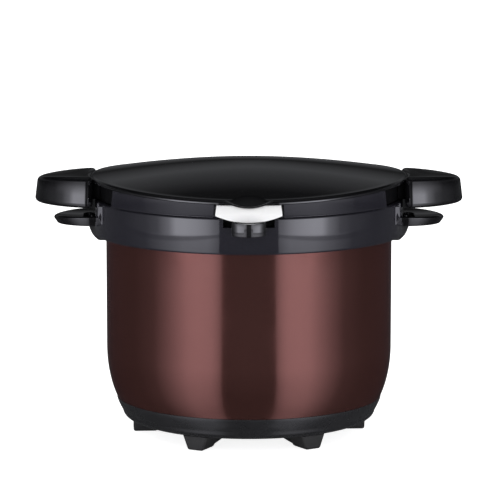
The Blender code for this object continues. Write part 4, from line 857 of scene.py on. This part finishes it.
def gripOutline():
    # round the tip, round the inner corners, and back along the arc that faces the lid
    outer = superellipse(grip.centre, grip.reach - grip.centre, grip.half, grip.power, 96)
    low, high = 0, 0.4
    for i in range(30):      # the turn at which the corner's circle touches the outer line
        turn = (low + high) / 2
        middle = onTurn(turn, grip.inner + grip.corner)
        nearest = min(outer, key=lambda point: (Vector(point) - middle).length)
        if (Vector(nearest) - middle).length > grip.corner:
            low = turn
        else:
            high = turn
    touch = Vector(nearest) - middle
    first, last = atan2(touch.y, touch.x), turn + pi
    kept = [point for point in outer if point[0] > nearest[0]]
    corner = [middle + onTurn(first + (last - first) * i / 14, grip.corner) for i in range(15)]
    inner = [onTurn(turn * (1 - i / 10), grip.inner) for i in range(1, 20)]
    return kept + [tuple(point) for point in corner + inner] + [(x, -y) for x, y in reversed(corner)]


def makeGrip():
    handle = slab(gripOutline(), grip.low, grip.top, grip.round, segments=5)
    middle = (grip.low + grip.top) / 2
    for vert in handle.data.vertices:
        x, y, z = vert.co
        share = max(0, (x - grip.centre) / (grip.reach - grip.centre))
        up = (z - middle) / (grip.top - middle)
        vert.co.x = x - grip.draft * max(0, up) * share
        vert.co.y = y * (1 - grip.flare * up)
        vert.co.z = z + max(0, up) * (grip.lift - (grip.lift + grip.tipFall) * share ** 2)
        vert.co.z += min(0, up) * grip.sag * (1 - share ** 3)
    far = grip.inner + grip.lap
    neck = beam(grip.centre - grip.lap, far, grip.neckHalf, grip.neckLow, grip.neckTop)
    skirt = beam(grip.centre, far, grip.skirtHalf, grip.skirtLow, grip.skirtTop)
    for part, near in ((neck, grip.neckNear), (skirt, grip.skirtNear)):
        carve(part, post(0, 0, grip.skirtLow - beyond, grip.top + beyond, near, sides=ringSteps))
    fuse(handle, neck, skirt)
    pocket = roundedBox((grip.pocketNear, -grip.pocketHalf), (grip.pocketFar, grip.pocketHalf),
                        grip.pocketCorner)
    carve(handle, slab(pocket, grip.low - beyond, grip.pocketTop))
    dress(handle, "lidHandleRight", finish.glossBlack)
    # the neck's and skirt's faces towards the lid get the painted shade finish, where the gap under the
    # handle lies in shadow
    return paint(handle, finish.recessBlack, lambda spot: spot.xy.length < grip.inner - margin)


rightGrip = makeGrip()
fit(mirrorPiece(rightGrip, "lidHandleLeft"), "lid", "lid_handle_left")
fit(rightGrip, "lid", "lid_handle_right")
print("cooker: lid handles done")


# latch: white thumb button and black lever, one rocking piece

button = Sizes(
    face=0.148, foot=0.2132, brow=0.2206, browRound=0.0016, top=0.2277, topFace=0.1434, topEdge=0.0004,
    wall=0.003, topWall=0.0018, halfAngle=radians(11.35), footArc=0.078, scoopGap=0.0024, sides=240,
    crease=0.0004)
lever = Sizes(
    half=0.015, back=0.1466, nose=0.155, low=0.2012, top=0.214, power=1.5, round=0.001, lean=0.0006,
    gap=0.0003, seam=0.143, armBack=0.1406, armLow=0.21115, armHalf=0.0144, lugBack=0.1348, lugLow=0.2174,
    lugTop=0.2224, slotHalf=0.0055, slotDeep=0.0035, clawHalf=0.012, clawTip=0.1383, clawLow=0.2095,
    clawTop=0.2128)


def footBar(radius, back):
    height = button.foot + button.footArc
    return bar((0, -lever.nose - beyond, height), (0, -back, height), radius, button.sides)


def makeButton():
    face, topFace, top, brow = button.face, button.topFace, button.top, button.brow
    edge, rounding, wall = button.topEdge, button.browRound, button.wall
    lean = atan2(face - topFace, top - brow)
    line = [(topFace - edge, top), (topFace, top - edge)]
    line += arc(face - rounding, brow - rounding * tan(lean / 2), rounding, degrees(lean), 0, 5)
    line += [(face, button.foot), (face - wall, button.foot), (face - wall, brow),
             (topFace - button.topWall, top)]
    piece = wedge(line, button.halfAngle, -pi / 2, 40, "latchButton", finish.whiteButton)
    combine(piece, [footBar(button.footArc, lever.lugBack)], "INTERSECT")
    carve(piece, scoopBar(scoop.radius + button.scoopGap))
    return soften(piece, button.crease, 3)


def makeLever():
    half, seam, low, top = lever.half, lever.seam, lever.low, lever.top
    nose = superellipse(lever.back, lever.nose - lever.back, half, lever.power, 48)
    outline = [(y, -x) for x, y in nose] + [(half, lever.gap - seam), (-half, lever.gap - seam)]
    piece = slab(outline, low, top, lever.round, segments=3)
    for vert in piece.data.vertices:
        vert.co.y += lever.lean * (vert.co.z - low) / (top - low)
    carve(piece, footBar(button.footArc + lever.gap, seam))
    side = [(-seam, lever.armLow), (-lever.armBack, lever.armLow), (-lever.armBack, lever.lugLow),
            (-lever.lugBack, lever.lugLow), (-lever.lugBack, lever.lugTop), (-seam, lever.lugTop)]
    fuse(piece, slab(side, -lever.armHalf, lever.armHalf, turn=standing),
         plank(lever.clawHalf, -lever.back, -lever.clawTip, lever.clawLow, lever.clawTop))
    pivotY, pivotZ = latch.pivot
    carve(piece, plank(lever.slotHalf, pivotY - lever.slotDeep, beyond - lever.lugBack,
                       pivotZ - lever.slotDeep, lever.lugTop + beyond),
          crossBar(latch.pinHalf, latch.pivot, latch.bore))
    return dress(piece, "latchLever", finish.glossBlack)


fit(makeButton(), "latch", "latch_button")
fit(makeLever(), "latch", "latch_lever")
print("cooker: latch done")


# cooking pot with its own lid

pot = Sizes(radius=0.106, wall=0.0012, floor=0.0431, corner=0.012, rim=0.1781, lip=0.0022, lipRound=0.0015)
wire = Sizes(radius=0.002, circle=0.1116, half=radians(16), low=0.1501, top=0.1901, corner=0.009)
bracket = Sizes(
    inner=0.1075, outer=0.1087, low=0.1498, top=0.1661, half=radians(19.1), sleeve=0.0034, bore=0.0023,
    edge=0.0003)
potLid = Sizes(
    flange=0.109, flangeTop=0.1796, flangeRound=0.0008, groove=0.1043, grooveIn=0.1011, domeFoot=0.1013,
    grooveLow=0.1751, grooveRound=0.001, top=0.1891, wall=0.0009, knobHole=0.0017)
knob = Sizes(
    low=0.1894, height=0.019, crown=((0, 1), (0.006, 0.985), (0.0105, 0.955)), radius=0.0165, edge=0.003,
    waist=0.0125, waistRound=0.004, foot=0.0125, footRound=0.001, bore=0.0017, boreDepth=0.0085,
    edgeMiddle=0.0152, edgeRise=0.00266, waistMiddle=0.00684, waistRise=0.00456)


def makePotBody():
    radius, rounding, corner = pot.radius, pot.lipRound, pot.corner
    line = [(radius + pot.wall + pot.lip, pot.rim)]
    line += arc(radius + rounding, pot.rim - rounding, rounding, 90, 180, 5)
    line += arc(radius - corner, pot.floor + corner, corner, 0, -90, 12)
    line += [(0, pot.floor)]
    return turnedShell("potBody", line, pot.wall, finish.potSteel, outwards=True)


def onCircle(turn, height):
    return (*onTurn(turn, wire.circle), height)


def makePotHandle():
    # a bent wire that follows the pot's side
    half, top, corner = wire.half, wire.top, wire.corner / wire.circle
    path = [(-half, wire.low)]
    path += [(-half + corner * (1 - cos(turn)), top - wire.corner * (1 - sin(turn)))
             for turn in (pi / 2 * i / 8 for i in range(9))]
    path += [((half - corner) * (i / 8 - 1), top) for i in range(1, 8)]
    path += [(0, top)] + [(-turn, height) for turn, height in reversed(path)]
    return tube("potHandleRight", [onCircle(*spot) for spot in path], wire.radius, finish.potSteel, 5)


def makeBracket():
    strip = [(bracket.outer, bracket.top), (bracket.outer, bracket.low), (bracket.inner, bracket.low),
             (bracket.inner, bracket.top)]
    piece = wedge(strip, bracket.half, 0, 24, "potBracketRight", finish.potSteel)
    turns, low, high = (-wire.half, wire.half), bracket.low, bracket.top
    fuse(piece, *[bar(onCircle(turn, low + bracket.edge), onCircle(turn, high - bracket.edge),
                      bracket.sleeve) for turn in turns])
    carve(piece, *[bar(onCircle(turn, low - beyond), onCircle(turn, high + beyond), bracket.bore)
                   for turn in turns])
    return soften(piece, bracket.edge)


def makePotLid():
    rounding, edge, low = potLid.grooveRound, potLid.flangeRound, potLid.grooveLow
    line = [(potLid.domeFoot * i / 24, potLid.top - (potLid.top - low) * (i / 24) ** 2) for i in range(24)]
    line += arc(potLid.grooveIn, low + rounding, rounding, 240, 270, 3)
    line += arc(potLid.groove - rounding, low + rounding, rounding, 270, 360, 5)
    line += arc(potLid.groove + edge, potLid.flangeTop - edge, edge, 180, 90, 4)
    line += [(potLid.flange, potLid.flangeTop)]
    piece = turnedShell("potLid", line, potLid.wall, finish.potSteel)
    return carve(piece, post(0, 0, potLid.top - beyond, potLid.top + beyond, potLid.knobHole))


def makeKnob():
    # crown, rounded edge, waist and foot
    low, height, foot, edge = knob.low, knob.height, knob.foot, knob.footRound
    line = [(radius, low + height * share) for radius, share in knob.crown]
    line += arc(knob.radius - knob.edge, low + knob.edgeMiddle, knob.edge, 80, -80, 12, knob.edgeRise)
    line += arc(knob.waist, low + knob.waistMiddle, knob.waistRound, 110, 230, 10, knob.waistRise)
    line += arc(foot - edge, low + edge, edge, 90, 0, 4)
    line += [(foot, low), (knob.bore, low), (knob.bore, low + knob.boreDepth), (0, low + knob.boreDepth)]
    return newPiece("potLidKnob", spinProfile(line, steps=64), finish.plugBlack)


fit(makePotBody(), "pot", "pot_body")
rightWire, rightBracket = makePotHandle(), makeBracket()
fit(mirrorPiece(rightWire, "potHandleLeft"), "pot", "pot_handle_left")
fit(rightWire, "pot", "pot_handle_right")
fit(mirrorPiece(rightBracket, "potBracketLeft"), "pot", "pot_bracket_left")
fit(rightBracket, "pot", "pot_bracket_right")
fit(makePotLid(), "pot_lid", "pot_lid")
fit(makeKnob(), "pot_lid", "pot_lid_knob")
print("cooker: pot done")


# CAD parts that stay get the same finishes

keptFinish = {"foil_shield": "plainAluminium", "pot_base_disc": "plainAluminium",
              "lid_insulation": "foamFill", "shell_bottom": "linerSteel", "base_plate": "linerSteel"}
for name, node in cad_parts.items():
    if node.hide_render:
        continue
    wanted = finish[keptFinish.get(name, "pinSteel")]
    for materialSlot in node.material_slots:
        materialSlot.material = wanted
    if not node.material_slots:
        node.data.materials.append(wanted)


# floor, light and camera

# Each tall softbox stands beside the camera and runs on below the table, whose polished top would mirror
# it. Its levels go outwards from the camera, lower and higher up, and upwards by height; the ring's go by
# direction.
studio = Sizes(
    bearing=radians(60), away=0.92, boxWidth=1.54, boxLow=-1.8, boxHigh=0.56, boxGlow=2.9,
    boxTint=(0.97, 0.97, 1.07), slant=0.08, outwardsLow=((0, 0), (0.004, 0.45), (0.06, 0.7), (0.13, 0.95),
        (0.25, 1), (0.35, 0.94), (0.45, 0.62), (0.555, 0.32), (0.68, 0.07), (0.88, 0.02), (1, 0)),
    outwardsHigh=((0, 0.25), (0.057, 0.36), (0.13, 0.6), (0.173, 0.71), (0.25, 0.84), (0.33, 0.92),
        (0.4, 0.89), (0.458, 0.43), (0.553, 0.13), (0.661, 0.05), (0.85, 0.015), (1, 0)),
    upwards=((-1.8, 0.145), (-0.97, 0.175), (-0.32, 0.305), (-0.047, 0.39), (0.034, 0.43), (0.044, 0.27),
        (0.074, 0.26), (0.082, 1), (0.22, 1), (0.34, 0.22), (0.56, 0.08)), topWidth=1.6, topDepth=1.2,
    topGlow=0.5, topSpot=(0, 0.7, 2), topAim=(0, 0, 0.2), white=1, ambient=0.86, whiteShare=0.005,
    floorGlow=0.86, floorTone=0.8, floorSize=12, ringTint=(0.98, 1, 1.06), frontGlow=0.047,
    ring=((-1, 0.03), (-0.3, 0.03), (-0.15, 0.05), (0, 0.06), (0.12, 0.008), (0.2, 0.038), (0.3, 0.085),
        (0.42, 0.05), (0.5, 0.008), (0.7, 0), (0.88, 0.05), (1, 0.08)))
view = Sizes(place=(0.001, -2.7917, 0.5999), pitch=8.82, lens=222.2)


def addRamp(tree, source, stops):
    # levels along a line, straight between its stops
    node = addNode(tree, "ValToRGB", {"Fac": source})
    elements = node.color_ramp.elements
    elements.remove(elements[1])
    for i, (spot, level) in enumerate(sorted(stops)):
        stop = elements[0] if i == 0 else elements.new(spot)
        stop.position, stop.color = spot, (level, level, level, 1)
    return node.outputs["Color"]


def emptyTree(holder):
    holder.use_nodes = True
    holder.node_tree.nodes.clear()
    return holder.node_tree


def addGlow(tree, kind, colour, strength):
    return addNode(tree, kind, {"Color": (*colour, 1), "Strength": strength}).outputs[0]


def makeFloor():
    shape = bmesh.new()
    bmesh.ops.create_grid(shape, x_segments=8, y_segments=8, size=studio.floorSize)
    material = bpy.data.materials.new("paleFloor")
    tree = emptyTree(material)
    seen = addNode(tree, "LightPath").outputs["Is Camera Ray"]
    matt = addNode(tree, "BsdfDiffuse", {"Color": (studio.floorTone,) * 3 + (1,)}).outputs[0]
    glow = addGlow(tree, "Emission", (1, 1, 1), compute(tree, "MULTIPLY", seen, studio.floorGlow))
    both = addNode(tree, "AddShader", {0: matt, 1: glow}).outputs[0]
    addNode(tree, "OutputMaterial", {"Surface": both})
    floor = newPiece("paleFloor", shape, material)
    floor.visible_glossy = False
    floor.visible_shadow = False


def makeLamp(name, width, height, glow, spot, aim):
    lamp = bpy.data.lights.new(name, "AREA")
    lamp.shape = "RECTANGLE"
    lamp.size, lamp.size_y = width, height
    lamp.energy = glow * pi * width * height
    holder = show(name, lamp)
    holder.location = spot
    holder.rotation_euler = (Vector(aim) - Vector(spot)).to_track_quat("-Z", "Y").to_euler()
    return holder


def makeSoftbox(name, side):
    bearing, away, low, height = studio.bearing, studio.away, studio.boxLow, studio.boxHigh - studio.boxLow
    spot = (side * away * sin(bearing), -away * cos(bearing), low + height / 2)
    lamp = makeLamp(name, studio.boxWidth, height, studio.boxGlow, spot, (0, 0, spot[2])).data
    lamp.color = studio.boxTint
    lamp.use_nodes = True
    tree = lamp.node_tree
    place = addNode(tree, "NewGeometry").outputs["Parametric"]
    across = addNode(tree, "SeparateXYZ", {0: place}).outputs
    slant = mapRange(tree, across["Y"], 0.2, 0.76, -side * studio.slant, 0)
    along = compute(tree, "ADD", across["X"], slant)
    lowPart, highPart = [addRamp(tree, along, [(at if side > 0 else 1 - at, level) for at, level in stops])
                         for stops in (studio.outwardsLow, studio.outwardsHigh)]
    upwards = addRamp(tree, across["Y"], [((at - low) / height, level) for at, level in studio.upwards])
    outwards = mixColour(tree, mapRange(tree, upwards, 0.5, 1, 0, 1), lowPart, highPart)
    feed(tree, tree.nodes["Emission"].inputs["Strength"], compute(tree, "MULTIPLY", outwards, upwards))


def makeWorld():
    # white to the camera, even light on matt faces, and a dim ring of levels for glossy ones
    world = bpy.data.worlds.new("studio")
    bpy.context.scene.world = world
    tree = emptyTree(world)
    rays = addNode(tree, "LightPath").outputs
    parts = addNode(tree, "SeparateXYZ", {0: addNode(tree, "TexCoord").outputs["Generated"]}).outputs
    stops = [((at + 1) / 2, level) for at, level in studio.ring]
    ring = addRamp(tree, mapRange(tree, parts["Z"], -1, 1, 0, 1), stops)
    front = mapRange(tree, parts["Y"], -0.8, -0.97, 0, studio.frontGlow)
    below = mapRange(tree, parts["Z"], 0, 0.2, 1, 0)
    dim = addGlow(tree, "Background", studio.ringTint, compute(tree, "MULTIPLY_ADD", front, below, ring))
    even = addGlow(tree, "Background", (1, 1, 1), studio.ambient)
    white = addGlow(tree, "Background", (1, 1, 1), studio.white)
    share = compute(tree, "MULTIPLY", rays["Is Glossy Ray"], studio.whiteShare)
    seen = compute(tree, "MAXIMUM", rays["Is Camera Ray"], rays["Is Transmission Ray"])
    lit = addNode(tree, "MixShader", {0: rays["Is Glossy Ray"], 1: even, 2: dim}).outputs[0]
    toWhite = compute(tree, "MAXIMUM", seen, share)
    whole = addNode(tree, "MixShader", {0: toWhite, 1: lit, 2: white}).outputs[0]
    addNode(tree, "OutputWorld", {"Surface": whole})


makeFloor()
makeSoftbox("softboxLeft", -1)
makeSoftbox("softboxRight", 1)
topLight = makeLamp("topLight", studio.topWidth, studio.topDepth, studio.topGlow, studio.topSpot,
                    studio.topAim)
topLight.visible_glossy = False
makeWorld()

lens = bpy.data.cameras.new("camera")
lens.lens = view.lens
camera = show("camera", lens)
camera.location = view.place
camera.rotation_euler = (radians(90 - view.pitch), 0, 0)
bpy.context.scene.camera = camera
bpy.context.scene.view_settings.view_transform = "Standard"
print("cooker: studio done")
